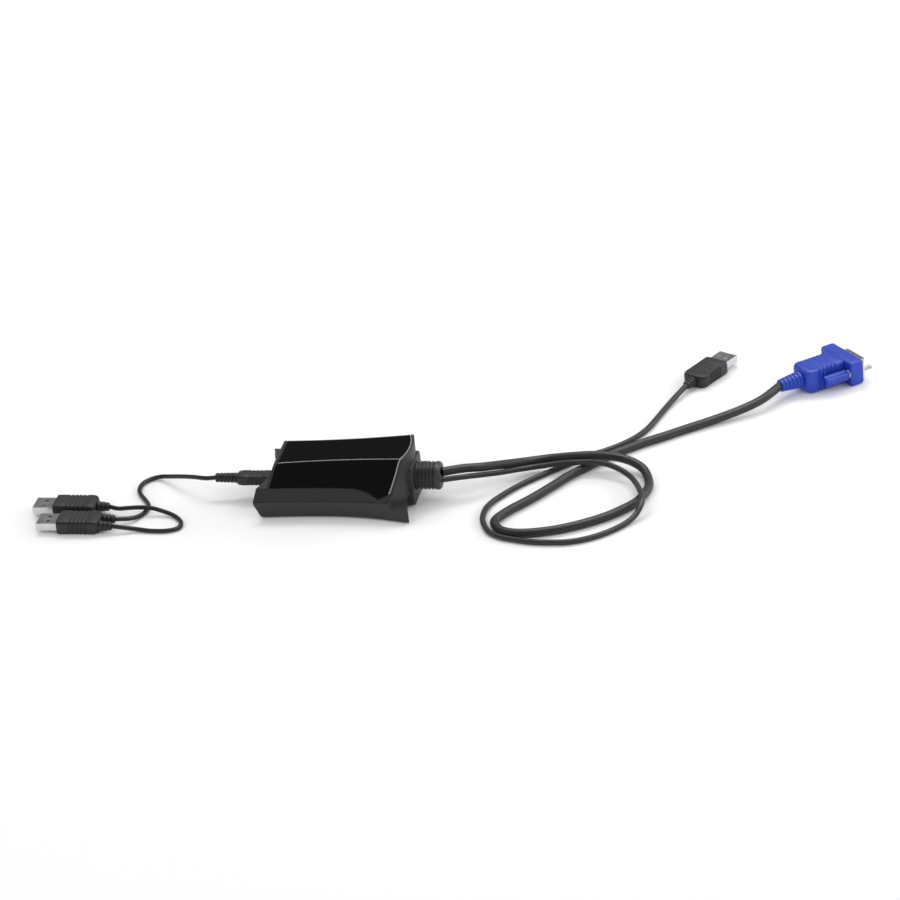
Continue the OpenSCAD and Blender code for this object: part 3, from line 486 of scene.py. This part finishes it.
# Free cables: the points of each route, from the case to the plug, in metres
cables = {
    "videoCable": {"diameter": 0.0050, "length": 0.4649, "finish": "cable_jacket", "body": "adapter",
                   "solid": "video_cable", "route": [
        (0.0580, 0.0019, 0.0151), (0.0685, 0.0065, 0.0148), (0.0780, 0.0110, 0.0134),
        (0.0860, 0.0180, 0.0110), (0.0940, 0.0255, 0.0084), (0.1020, 0.0315, 0.0066),
        (0.1105, 0.0345, 0.0064), (0.1190, 0.0350, 0.0072), (0.1275, 0.0350, 0.0080),
        (0.1360, 0.0355, 0.0083), (0.1445, 0.0350, 0.0082), (0.1525, 0.0340, 0.0074),
        (0.1600, 0.0320, 0.0056), (0.1655, 0.0280, 0.0038), (0.1690, 0.0205, 0.0027),
        (0.1710, 0.0105, 0.0025), (0.1695, 0.0005, 0.0025), (0.1665, -0.0085, 0.0025),
        (0.1605, -0.0165, 0.0025), (0.1530, -0.0245, 0.0025), (0.1445, -0.0310, 0.0025),
        (0.1355, -0.0365, 0.0025), (0.1255, -0.0410, 0.0025), (0.1145, -0.0440, 0.0025),
        (0.1055, -0.0445, 0.0025), (0.0985, -0.0425, 0.0025), (0.0940, -0.0375, 0.0025),
        (0.0920, -0.0315, 0.0025), (0.0940, -0.0255, 0.0025), (0.0995, -0.0165, 0.0025),
        (0.1060, -0.0080, 0.0025), (0.1120, 0.0010, 0.0025), (0.1185, 0.0115, 0.0025),
        (0.1255, 0.0230, 0.0025), (0.1335, 0.0330, 0.0025), (0.1420, 0.0445, 0.0025),
        (0.1515, 0.0535, 0.0025), (0.1610, 0.0620, 0.0025), (0.1715, 0.0700, 0.0025),
        (0.1820, 0.0785, 0.0025), (0.1930, 0.0865, 0.0028), (0.2035, 0.0935, 0.0036),
        (0.2135, 0.1005, 0.0048), (0.2230, 0.1090, 0.0064), (0.2310, 0.1230, 0.0075)]},
    "kvmCable": {"diameter": 0.0032, "length": 0.4569, "finish": "cable_jacket", "body": "adapter",
                 "solid": "kvm_cable", "route": [
        (0.0580, -0.0020, 0.0122), (0.0695, 0.0020, 0.0120), (0.0780, 0.0080, 0.0101),
        (0.0865, 0.0150, 0.0078), (0.0945, 0.0220, 0.0059), (0.1030, 0.0265, 0.0052),
        (0.1115, 0.0285, 0.0056), (0.1200, 0.0295, 0.0064), (0.1285, 0.0295, 0.0070),
        (0.1370, 0.0295, 0.0072), (0.1450, 0.0275, 0.0070), (0.1520, 0.0240, 0.0062),
        (0.1585, 0.0185, 0.0052), (0.1635, 0.0095, 0.0058), (0.1680, -0.0025, 0.0071),
        (0.1710, -0.0130, 0.0075), (0.1705, -0.0195, 0.0056), (0.1680, -0.0250, 0.0029),
        (0.1630, -0.0325, 0.0017), (0.1560, -0.0405, 0.0016), (0.1470, -0.0475, 0.0016),
        (0.1365, -0.0520, 0.0016), (0.1260, -0.0530, 0.0016), (0.1155, -0.0525, 0.0016),
        (0.1050, -0.0500, 0.0016), (0.0970, -0.0470, 0.0016), (0.0900, -0.0410, 0.0016),
        (0.0850, -0.0295, 0.0016), (0.0840, -0.0185, 0.0016), (0.0860, -0.0090, 0.0016),
        (0.0915, 0.0015, 0.0016), (0.0985, 0.0120, 0.0016), (0.1070, 0.0220, 0.0016),
        (0.1160, 0.0315, 0.0016), (0.1240, 0.0400, 0.0016), (0.1325, 0.0480, 0.0016),
        (0.1410, 0.0545, 0.0016), (0.1485, 0.0615, 0.0016), (0.1555, 0.0705, 0.0016),
        (0.1605, 0.0810, 0.0016), (0.1640, 0.0935, 0.0016), (0.1675, 0.1070, 0.0017),
        (0.1715, 0.1190, 0.0026), (0.1760, 0.1300, 0.0040)]},
    "laptopCord": {"diameter": 0.0025, "length": 0.1132, "finish": "lead_jacket", "body": "laptop_lead",
                   "solid": "laptop_cord", "route": [
        (-0.07095, 0.0000, 0.0116), (-0.0770, -0.0005, 0.0114), (-0.0840, 0.0030, 0.0102),
        (-0.0925, 0.0085, 0.0076), (-0.1015, 0.0145, 0.0044), (-0.1090, 0.0185, 0.0020),
        (-0.1145, 0.0165, 0.0013), (-0.1175, 0.0110, 0.0013), (-0.1175, 0.0040, 0.0013),
        (-0.1150, -0.0020, 0.0013), (-0.1110, -0.0080, 0.0013), (-0.1075, -0.0145, 0.0013),
        (-0.1075, -0.0210, 0.0013), (-0.1095, -0.0265, 0.0014), (-0.1135, -0.0320, 0.0026),
        (-0.1210, -0.0355, 0.0040)]},
    "powerCord": {"diameter": 0.0025, "length": 0.0937, "finish": "lead_jacket", "body": "laptop_lead",
                  "solid": "power_cord", "route": [
        (-0.1280, -0.0210, 0.0040), (-0.1225, -0.0230, 0.0039), (-0.1165, -0.0225, 0.0041),
        (-0.1100, -0.0220, 0.0042), (-0.1035, -0.0225, 0.0041), (-0.0975, -0.0235, 0.0030),
        (-0.0910, -0.0255, 0.0016), (-0.0855, -0.0310, 0.0013), (-0.0835, -0.0365, 0.0013),
        (-0.0850, -0.0410, 0.0013), (-0.0910, -0.0435, 0.0013), (-0.0995, -0.0435, 0.0013),
        (-0.1080, -0.0425, 0.0018), (-0.1150, -0.0435, 0.0032), (-0.1210, -0.0435, 0.0040)]},
}


# A smooth line through every point of a route
def smoothRoute(route, steps=10):
    points = [Vector(p) for p in route]
    ends = [2 * points[0] - points[1]] + points + [2 * points[-1] - points[-2]]
    line = []
    for i in range(1, len(ends) - 2):
        a, b, c, d = ends[i - 1:i + 3]
        for j in range(steps):
            t = j / steps
            line.append(0.5 * (2 * b + (c - a) * t + (2 * a - 5 * b + 4 * c - d) * t ** 2
                               + (3 * b - a - 3 * c + d) * t ** 3))
    return line + [points[-1]]


def makeCable(name):
    cable = cables[name]
    line = smoothRoute(cable["route"])
    curve = bpy.data.curves.new(name, "CURVE")
    curve.dimensions = "3D"
    curve.bevel_depth = cable["diameter"] / 2
    curve.bevel_resolution = 6
    curve.use_fill_caps = True
    spline = curve.splines.new("POLY")
    spline.points.add(len(line) - 1)
    for point, place in zip(spline.points, line):
        point.co = (*place, 1)
    spline.use_smooth = True
    curve.materials.append(finishes[cable["finish"]])
    piece = bpy.data.objects.new(name, curve)
    bpy.context.scene.collection.objects.link(piece)
    return placed(piece, cable["body"], cable["solid"], slot="cable_jacket")


cords = {name: makeCable(name) for name in cables}


def coloured(piece, slot):
    piece.data.materials.clear()
    piece.data.materials.append(finishes[slot])
    return piece


def spread(share):
    waist = case["waistShare"]
    return ((waist - share) / waist) ** 2 if share < waist else ((share - waist) / (1 - waist)) ** 2


def caseRing(share, inset):
    x = (share - 0.5) * (case["length"] - 2 * inset)
    half = {}
    for line, waist in case["waist"].items():
        flare = case["leftFlare"] if share < case["waistShare"] else case["flare"][line]
        half[line] = waist + flare * spread(share)
    lines = [
        ("foot", half["foot"] - inset, case["footZ"] + inset,
         case["footLean"] * (1 - share) ** 2 + case["tipLean"] * share ** case["tipPower"]),
        ("belt", half["belt"] - inset, case["beltZ"], 0),
        ("shoulder", half["shoulder"] - inset, case["shoulderZ"] - case["shoulderDropShare"] * inset, 0),
        ("crease", half["crease"] - case["creaseInShare"] * inset,
         case["height"] - case["topFall"] * (1 - share) - inset, 0),
    ]
    corners = [(name, Vector((x + lean, -y, z))) for name, y, z, lean in lines]
    corners += [(name, Vector((x + lean, y, z))) for name, y, z, lean in reversed(lines)]
    return roundedRing(corners, case["rounding"])


# Each corner of an outline becomes a short curve
def roundedRing(corners, rounding, steps=5):
    ring = []
    for i, (name, corner) in enumerate(corners):
        before = (corners[i - 1][1] - corner).normalized() * rounding[name]
        after = (corners[(i + 1) % len(corners)][1] - corner).normalized() * rounding[name]
        for j in range(steps + 1):
            t = j / steps
            ring.append(corner + before * (1 - t) ** 2 + after * t ** 2)
    return ring


# Side view of something as long as the case is wide
def sideView(*outline):
    return loft("tool", [[(x, y, z) for x, z in outline] for y in (-case["beside"], case["beside"])])


# Place at a height on a line that leans in like the cover's socket end
def leaning(x, z):
    return x + (z - case["shoulderZ"]) * upperSlope


def caseBody(name, inset, spans=56):
    body = loft(name, [caseRing(i / spans, inset) for i in range(spans + 1)])
    top, past, under = case["height"] + 4, case["past"], 2
    height = case["ledgeZ"] + inset + under
    cut(body, rod("tool", (rightX + scoopRight, 0, -under), scoopRight + inset, height, count=480))
    cut(body, rod("tool", (leftX - scoopLeft, 0, -under), scoopLeft + inset, top, count=480))
    ledge = case["ledgeZ"] - inset
    outside = block("tool", (1, -case["beside"], ledge), (past, case["beside"], top + 1))
    bulge = rod("tool", (bulgeX - case["bulge"], 0, ledge - 1), case["bulge"] - inset, top + 4, count=360)
    cut(body, cut(outside, bulge))
    step, low = case["upperStep"] + inset - halfLength, case["shoulderZ"] - inset
    return cut(body, sideView((leaning(step, low), low), (leaning(step, top), top), (-past, top),
                              (-past, low)))


# Space that the cover takes: its outline in the side view, inside a rim that follows the bulge
def coverPrism(gap):
    z, tip = coverEdge["z"], coverEdge["tipZ"]
    along = {name: case["length"] * (coverEdge[name + "Share"] - 0.5)
             for name in ("start", "bend", "tip", "end")}
    left, low, top, past = coverEdge["left"] - halfLength + gap, z + gap, case["height"] + 1, case["past"]
    endZ = z - (z - tip) * coverEdge["endDropShare"] + gap
    prism = sideView((leaning(left, low), low), (along["start"], low),
                     (along["bend"], z - (z - tip) * coverEdge["bendDropShare"] + gap),
                     (along["tip"], tip + gap), (along["end"] - gap, endZ), (past, endZ), (past, top),
                     (leaning(left, top), top))
    reach = case["bulge"] - case["cover"] - gap
    rim = rod("tool", (bulgeX - case["bulge"], 0, -case["under"]), reach, top + 3, count=360)
    return cut(prism, rim, "INTERSECT")


def makeCover():
    cover = cut(caseBody("glossCover", 0), coverPrism(case["coverGap"]), "INTERSECT")
    cut(cover, caseBody("tool", case["cover"]))
    tidyMesh(cover, join=0.01)
    edged(cover, case["coverRound"], 3, short=case["short"])
    coloured(cover, "cover_gloss")
    return placed(cover, "adapter", "gloss_cover", slot="cover_gloss")


makeCover()


def slab(low, high):
    return block("tool", (-case["past"], -case["beside"], low), (case["past"], case["beside"], high))


def atCorners(x, y, radius, low, high, count=32):
    rods = [rod("post", (i * x, j * y, low), radius, high - low, count=count)
            for i in (-1, 1) for j in (-1, 1)]
    return joined("posts", *rods)


def atPosts(radius, low, high):
    return atCorners(case["post"]["x"], case["post"]["y"], radius, low, high)


# Strain relief: a turned rubber boot with five ribs and a smooth end
relief = {
    "radius": 7.9, "length": 14, "z": 13.9, "neckShare": 0.76, "ribs": 5, "groove": 0.9,
    "depth": 1.0, "endShare": 0.24, "innerX": 33.25, "lip": 2.6, "soft": 0.35,
}


# Half of the case: its outer form with the collar, cut at the parting line
def caseHalf(name, low, high):
    collar, soft = case["collar"], case["collar"]["soft"]
    middle = (case["footZ"] + collar["top"]) / 2
    tall = collar["top"] - case["footZ"]
    steps = ((rightX - 1, 0), (collarX - soft, 0), (collarX, soft))
    ring = loft("collar", [section(x, collar["width"] - 2 * inset, tall - 2 * inset, collar["corner"],
                                   (0, middle)) for x, inset in steps])
    return cut(cut(caseBody(name, 0), ring, "UNION"), slab(low, high), "INTERSECT")


# Holes at both ends: the boot's on the right, the socket's on the left
def endHoles(body):
    socket, neck = case["socket"], relief["radius"] * relief["neckShare"]
    cut(body, rod("tool", (rightX - 7, 0, relief["z"]), neck, 13, "x"))
    half, tall, spare = socket["width"] / 2, socket["height"] / 2, socket["spare"]
    return cut(body, block("tool", (leftX - 8, -half - spare, socket["z"] - tall - spare),
                           (leftX + 5, half + spare, socket["z"] + tall + spare)))


def makeBottomShell():
    post, screw, pad, under = case["post"], case["screw"], case["pad"], case["under"]
    body = caseHalf("bottomShell", -under, case["partingZ"] - case["seam"])
    cut(body, caseBody("tool", case["wall"]))
    cut(body, atPosts(post["radius"], post["foot"], case["boardLow"]), "UNION")
    cut(body, atPosts(screw["radius"], -under, screw["top"]))
    cut(body, atPosts(screw["headRadius"], -under, screw["headTop"]))
    cut(body, atCorners(pad["x"], pad["y"], pad["radius"], -under, pad["top"], 40))
    endHoles(body)
    edged(body, case["edge"], 3, short=case["short"])
    coloured(body, "case_plastic")
    return placed(body, "adapter", "bottom_shell", slot="case_plastic")


def makeTopShell():
    post, screw = case["post"], case["screw"]
    body = caseHalf("topShell", case["partingZ"] + case["seam"], case["height"] + 2)
    cut(body, cut(coverPrism(0), caseBody("tool", case["cover"])))
    cut(body, caseBody("tool", case["wall"] + case["cover"]))
    cut(body, atPosts(post["radius"], case["boardTop"], post["top"]), "UNION")
    cut(body, atPosts(screw["pilotRadius"], case["boardTop"] - 1, screw["pilotTop"]))
    endHoles(body)
    edged(body, case["edge"], 3)
    coloured(body, "case_plastic")
    return placed(body, "adapter", "top_shell", slot="case_plastic")


makeBottomShell()
makeTopShell()
print("case made")


def makeRelief():
    reach, soft = relief["radius"], relief["soft"]
    neck = reach * relief["neckShare"] - 0.2
    zone = relief["length"] * (1 - relief["endShare"])
    pitch = zone / relief["ribs"]
    start, lip = collarX, neck + 0.2 + relief["lip"] / 2
    end = start + relief["length"]
    inner = relief["innerX"]
    profile = [(inner, lip - soft), (inner + soft, lip), (inner + relief["lip"], lip),
               (inner + relief["lip"], neck), (start, neck), (start, reach - soft), (start + soft, reach)]
    for i in range(relief["ribs"]):
        wall = start + (i + 1) * pitch
        low = reach - relief["depth"]
        profile += [(wall - relief["groove"] - soft, reach), (wall - relief["groove"], reach - soft),
                    (wall - relief["groove"] + 0.1, low), (wall - 0.1, low), (wall, reach - soft),
                    (wall + soft, reach)]
    profile += [(end - 1.6, reach), (end - 0.8, reach - 0.25), (end - 0.2, reach - 0.9), (end, reach - 1.8),
                (end, reach - 3.4), (end - 0.8, reach - 4.2)]
    boot = loft("strainBoot", [circle(x, r, 64, centre=(0, relief["z"])) for x, r in profile])
    coloured(boot, "relief_rubber")
    return placed(boot, "adapter", "strain_relief", slot="relief_rubber")


makeRelief()
print("boot made")


# Ribbed tail of an overmould, along X from the cable to the plug
def ribbedTail(x, length, tip, root, ribs, centre=(0, 0)):
    pitch = length / ribs
    profile = []
    for i in range(ribs):
        for share, low in ((0.04, 0.5), (0.12, 0.12), (0.24, 0), (0.7, 0), (0.8, 0.12), (0.88, 0.5),
                           (0.96, 0.6)):
            along = (i + share) / ribs
            profile.append((x + along * length, tip + (root - tip) * along - low * min(1, pitch / 2.4)))
    profile.append((x + length + 1.5, root - 0.7))
    return loft("tail", [circle(along, reach, 36, centre=centre) for along, reach in profile])


# Overmould body: rings of (place, share of the width), grooved where a finger grips it
def mould(name, start, end, width, height, corner, grips, first, pitch, depth=0.06):
    profile = [(start, 0.66), (start + 0.35, 0.78), (start + 1.1, 0.90), (start + 2.2, 0.965),
               (start + 3.6, 1)]
    for i in range(grips):
        x = start + first + i * pitch
        profile += [(x, 1), (x + 0.18 * pitch, 1 - depth), (x + 0.5 * pitch, 1 - depth),
                    (x + 0.68 * pitch, 1)]
    profile += [(end - 0.8, 1), (end - 0.25, 0.985), (end, 0.95)]
    return loft(name, [section(x, width * share, height * (0.35 + 0.65 * share), corner, steps=6)
                       for x, share in profile])


# Large USB plug
plug = {
    "tail": 7, "tailRadius": 3.2, "tipRadius": 2.3, "width": 15.4, "height": 8, "length": 24, "corner": 1.8,
    "sunk": 6, "shellWidth": 12, "shellHeight": 4.5, "grips": 5, "firstGrip": 6.5, "gripPitch": 2.3,
}


def makePlug(name, body, solid, tails, place, heading):
    start = plug["tail"]
    end = start + plug["length"]
    form = mould("mould", start, end, plug["width"], plug["height"], plug["corner"], plug["grips"],
                 plug["firstGrip"], plug["gripPitch"])
    half, tall = plug["shellWidth"] / 2, plug["shellHeight"] / 2
    cut(form, block("tool", (end - plug["sunk"], -half, -tall), (end + 2, half, tall)))
    tidyMesh(form)
    parts = [ribbedTail(0, start, plug["tipRadius"], plug["tailRadius"], 3, (y, 0)) for y in tails]
    piece = moved(joined(name, form, *parts), place, heading)
    return placed(coloured(piece, "plug_black"), body, solid, slot="plug_black")


# Small USB plug of the laptop lead
mini = {
    "width": 9.4, "height": 6, "corner": 1.6, "length": 20, "faceGap": 1.2, "tail": 12.5, "tailRadius": 2.9,
    "tipRadius": 2.6, "holeWidth": 6.74, "holeHeight": 3.04, "holeDepth": 6.4,
}


def makeMiniPlug():
    face = leftX - mini["faceGap"]
    start = face - mini["length"]
    body = mould("mould", start, face, mini["width"], mini["height"], mini["corner"], 4, 7, 2.2)
    half, tall = mini["holeWidth"] / 2, mini["holeHeight"] / 2
    cut(body, block("tool", (face - mini["holeDepth"], -half, -tall), (face + 2, half, tall)))
    tidyMesh(body)
    tail = ribbedTail(start - mini["tail"], mini["tail"], mini["tipRadius"], mini["tailRadius"], 6)
    piece = moved(joined("miniPlugMould", body, tail), (0, 0, case["socket"]["z"]))
    return placed(coloured(piece, "plug_black"), "laptop_lead", "mini_plug", slot="plug_black")


# Video plug, along X from the tip of its tail
video = {
    "heading": 40, "tail": 14, "tailRadius": 5, "tipRadius": 3.6, "length": 33, "ear": 8,
    "width": 31, "height": 15, "coreWidth": 17.4, "coreHeight": 14.1, "corner": 2,
    "pitch": 25, "screwRadius": 1.4, "knobRadius": 3.2, "knobLength": 15, "knobGap": 1.5,
    "threadDepth": 0.25, "threadPitch": 0.64, "thread": 6, "tip": 7.5,
}
videoPlace = tuple(c / mm for c in cables["videoCable"]["route"][-1][:2]) + (video["height"] / 2,)


def makeHood():
    start, end = video["tail"], video["tail"] + video["length"]
    earX, wide, tall, corner = end - video["ear"], video["width"], video["height"], video["corner"]
    core = mould("core", start, earX + 1, video["coreWidth"], video["coreHeight"], corner, 5, 7, 2.6, 0.07)
    profile = [(earX, 0.93), (earX + 0.25, 0.965), (earX + 0.8, 0.99), (earX + 1.6, 1), (end - 0.8, 1),
               (end - 0.25, 0.985), (end, 0.96)]
    ears = loft("ears", [section(x, wide - tall * (1 - share), tall * share, corner, steps=6)
                         for x, share in profile])
    for side in (-1, 1):
        cut(ears, rod("tool", (earX - 1, side * video["pitch"] / 2, 0), video["screwRadius"] + 0.25,
                      video["ear"] + 2, "x", 32))
    tidyMesh(ears)
    tail = ribbedTail(0, start, video["tipRadius"], video["tailRadius"], 6)
    piece = moved(joined("videoHood", core, ears, tail), videoPlace, video["heading"])
    return placed(coloured(piece, "video_blue"), "adapter", "video_hood", slot="video_blue")


def makeKnob(side, name):
    end = video["tail"] + video["length"] - video["ear"] - video["knobGap"]
    start, reach, y = end - video["knobLength"], video["knobRadius"], side * video["pitch"] / 2
    profile = [(0, reach - 0.9, 0), (0.12, reach - 0.5, 0), (0.5, reach - 0.12, 0.3), (0.9, reach, 0.45)]
    length = video["knobLength"]
    profile += [(length - 0.9, reach, 0.45), (length - 0.5, reach - 0.12, 0.3),
                (length - 0.12, reach - 0.5, 0), (length, reach - 0.9, 0)]
    knob = loft("knob", [circle(start + x, r, 96, 12, depth, (y, 0)) for x, r, depth in profile], smooth=50)
    cut(knob, block("tool", (start - 1, y - 0.45, -2.2), (start + 1.2, y + 0.45, 2.2)))
    tidyMesh(knob, 50)
    piece = moved(knob, videoPlace, video["heading"])
    piece.name = name + "Knob"
    return placed(coloured(piece, "video_blue"), name + "_thumbscrew", name + "_thumb_knob",
                  slot="video_blue")


# Jackscrew: a plain shank, then a helical thread and a coned tip
def makeJackscrew(side, name):
    face = video["tail"] + video["length"]
    start = face - video["ear"] - video["knobGap"] - video["knobLength"] / 2
    tip = face + video["tip"]
    low, reach, y = tip - video["thread"], video["screwRadius"], side * video["pitch"] / 2
    shank = reach - video["threadDepth"]
    rings = [circle(start, shank, 32, centre=(y, 0)), circle(low - 0.1, shank, 32, centre=(y, 0))]
    steps = 72
    for i in range(steps + 1):
        x = low + video["thread"] * i / steps
        cone = max(0, x - tip + 0.5)
        turn = 2 * math.pi * x / video["threadPitch"]
        rings.append(circle(x, reach - cone, 32, 1, video["threadDepth"], (y, 0), turn))
    piece = moved(loft(name + "Jackscrew", rings, smooth=50), videoPlace, video["heading"])
    return placed(coloured(piece, "shell_steel"), name + "_thumbscrew", name + "_jackscrew",
                  slot="shell_steel")


plugHeight = plug["height"] / 2
kvmEnd = [c / mm for c in cables["kvmCable"]["route"][-1]]
dataEnd = [c / mm for c in cables["laptopCord"]["route"][-1]]
powerStart = [c / mm for c in cables["powerCord"]["route"][0]]
tailY = 4
kvmPlace = (kvmEnd[0], kvmEnd[1], plugHeight)
dataPlace = (dataEnd[0], dataEnd[1] - tailY, plugHeight)
powerPlace = (powerStart[0], powerStart[1], plugHeight)
kvmMould = makePlug("kvmPlugMould", "adapter", "kvm_plug", [0], kvmPlace, 62)
dataMould = makePlug("dataPlugMould", "laptop_lead", "data_plug", [-tailY, tailY], dataPlace, 180)
powerMould = makePlug("powerPlugMould", "laptop_lead", "power_plug", [0], powerPlace, 180)
makeMiniPlug()
hood = makeHood()
knobs = {name: makeKnob(side, name) for name, side in (("left", 1), ("right", -1))}
jackscrews = {name: makeJackscrew(side, name) for name, side in (("left", 1), ("right", -1))}
print("plugs made")


# The remaining solids: each gets a copy with its sharp edges rounded
softened = {
    "rubber_feet": 0.3, "housing_screws": 0.12, "circuit_board": 0.12, "socket_shell": 0.07,
    "socket_insert": 0.07, "video_chip": 0.1, "memory_chip": 0.1, "usb_chip": 0.1, "crystal_can": 0.3,
    "capacitors": 0.2,
    "video_header": 0.12, "usb_header": 0.12, "video_header_plug": 0.15, "usb_header_plug": 0.15,
    "video_plug_shell": 0.14, "video_insulator": 0.1, "video_pins": 0.2, "left_retainer": 0.12,
    "right_retainer": 0.12, "mini_plug_shell": 0.08, "mini_plug_insert": 0.08,
}
for solid in ("kvm", "data", "power"):
    softened[solid + "_plug_shell"] = 0.13
    softened[solid + "_plug_tongue"] = 0.15
    softened[solid + "_plug_contacts"] = 0.06
slots = {part["node"]: part["material_slot"] for part in frame["record"]["subparts"]}
riders = {node: body for body, inside in frame["record"]["behaviour"]["bodies"].items() for node in inside}


def softCopy(solid, width):
    words = solid.split("_")
    name = words[0] + "".join(word.capitalize() for word in words[1:])
    form = bmesh.new()
    form.from_mesh(nodes[solid].data)
    form.transform(nodes[solid].matrix_world)
    bmesh.ops.remove_doubles(form, verts=form.verts, dist=0.0005 * mm)
    bmesh.ops.dissolve_limit(form, angle_limit=math.radians(1), verts=form.verts, edges=form.edges)
    mesh = bpy.data.meshes.new(name)
    form.to_mesh(mesh)
    form.free()
    piece = bpy.data.objects.new(name, mesh)
    bpy.context.scene.collection.objects.link(piece)
    edged(piece, width, 2)
    return placed(coloured(piece, slots[solid]), riders[solid], solid, slot=slots[solid])


soft = {solid: softCopy(solid, width) for solid, width in softened.items()}
print("small parts softened:", len(soft))

for name, outer, solid in (("kvmCable", kvmMould, "kvm"), ("laptopCord", dataMould, "data"),
                           ("powerCord", powerMould, "power")):
    metal = [soft[solid + "_plug_" + word] for word in ("shell", "tongue", "contacts")]
    [outer] + metal
print("cords laid")


# Room: a pale floor, soft lamps, white all round
room = {"floor": 12.0, "white": (0.93, 0.93, 0.93), "whitest": (0.95, 0.95, 0.95), "ambient": 0.66}
lamps = {
    "keyLamp": {"place": (-0.3, 1.1, 1.7), "size": (1.8, 0.5), "power": 14},
    "fillLamp": {"place": (-1.4, -1.6, 1.4), "size": (1.2, 1.2), "power": 10, "gloss": False},
    "sideLamp": {"place": (1.8, -0.6, 1.2), "size": (1.0, 1.0), "power": 6},
    "edgeLamp": {"place": (0.9, 0.55, 0.42), "size": (0.5, 0.3), "power": 3},
    "topLamp": {"place": (0.46, 0.28, 1.2), "size": (0.9, 0.6), "power": 14, "matt": False, "down": True},
}


def makeRoom():
    half = room["floor"] / 2 / mm
    ground = makeObject("floor", [(-half, -half, 0), (half, -half, 0), (half, half, 0), (-half, half, 0)],
                        [(0, 1, 2, 3)])
    finish = Finish("floorPaper", Roughness=0.9, Specular_IOR_Level=0.1)
    grain = finish.noise(3, 2)
    finish.put(finish.shader, "Base Color", finish.blend(grain, room["white"], room["whitest"]))
    ground.data.materials.append(finish.material)
    for name, lamp in lamps.items():
        light = bpy.data.lights.new(name, "AREA")
        light.shape = "RECTANGLE"
        light.size, light.size_y = lamp["size"]
        light.energy = lamp["power"]
        holder = bpy.data.objects.new(name, light)
        bpy.context.scene.collection.objects.link(holder)
        holder.location = lamp["place"]
        holder.visible_glossy = lamp.get("gloss", True)
        holder.visible_diffuse = lamp.get("matt", True)
        if not lamp.get("down"):
            holder.rotation_euler = (-holder.location).to_track_quat("-Z", "Y").to_euler()


# Plain white for the camera, and for mirrors a white horizon under a dark sky
def makeSky():
    world = bpy.data.worlds.new("sky")
    bpy.context.scene.world = world
    world.use_nodes = True
    tree = world.node_tree
    tree.nodes.clear()
    ray = tree.nodes.new("ShaderNodeLightPath")
    place = tree.nodes.new("ShaderNodeTexCoord")
    split = tree.nodes.new("ShaderNodeSeparateXYZ")
    ramp = tree.nodes.new("ShaderNodeValToRGB")
    stops = ramp.color_ramp.elements
    stops[0].position, stops[0].color = 0.08, (1, 1, 1, 1)
    stops[1].position, stops[1].color = 0.32, (0.05, 0.05, 0.05, 1)
    seen = tree.nodes.new("ShaderNodeBackground")
    plain = tree.nodes.new("ShaderNodeBackground")
    plain.inputs["Strength"].default_value = room["ambient"]
    mirrored = tree.nodes.new("ShaderNodeBackground")
    first = tree.nodes.new("ShaderNodeMixShader")
    second = tree.nodes.new("ShaderNodeMixShader")
    out = tree.nodes.new("ShaderNodeOutputWorld")
    gleam = tree.nodes.new("ShaderNodeMath")
    gleam.operation = "MAXIMUM"
    link = tree.links.new
    link(place.outputs["Generated"], split.inputs[0])
    link(split.outputs["Z"], ramp.inputs["Fac"])
    link(ramp.outputs["Color"], mirrored.inputs["Color"])
    link(ray.outputs["Is Glossy Ray"], gleam.inputs[0])
    link(ray.outputs["Is Transmission Ray"], gleam.inputs[1])
    link(gleam.outputs[0], first.inputs[0])
    link(plain.outputs[0], first.inputs[1])
    link(mirrored.outputs[0], first.inputs[2])
    link(ray.outputs["Is Camera Ray"], second.inputs[0])
    link(first.outputs[0], second.inputs[1])
    link(seen.outputs[0], second.inputs[2])
    link(second.outputs[0], out.inputs[0])
    for background in (seen, plain):
        background.inputs["Color"].default_value = (1, 1, 1, 1)


makeRoom()
makeSky()
bpy.context.scene.view_settings.view_transform = "Standard"
print("room made")
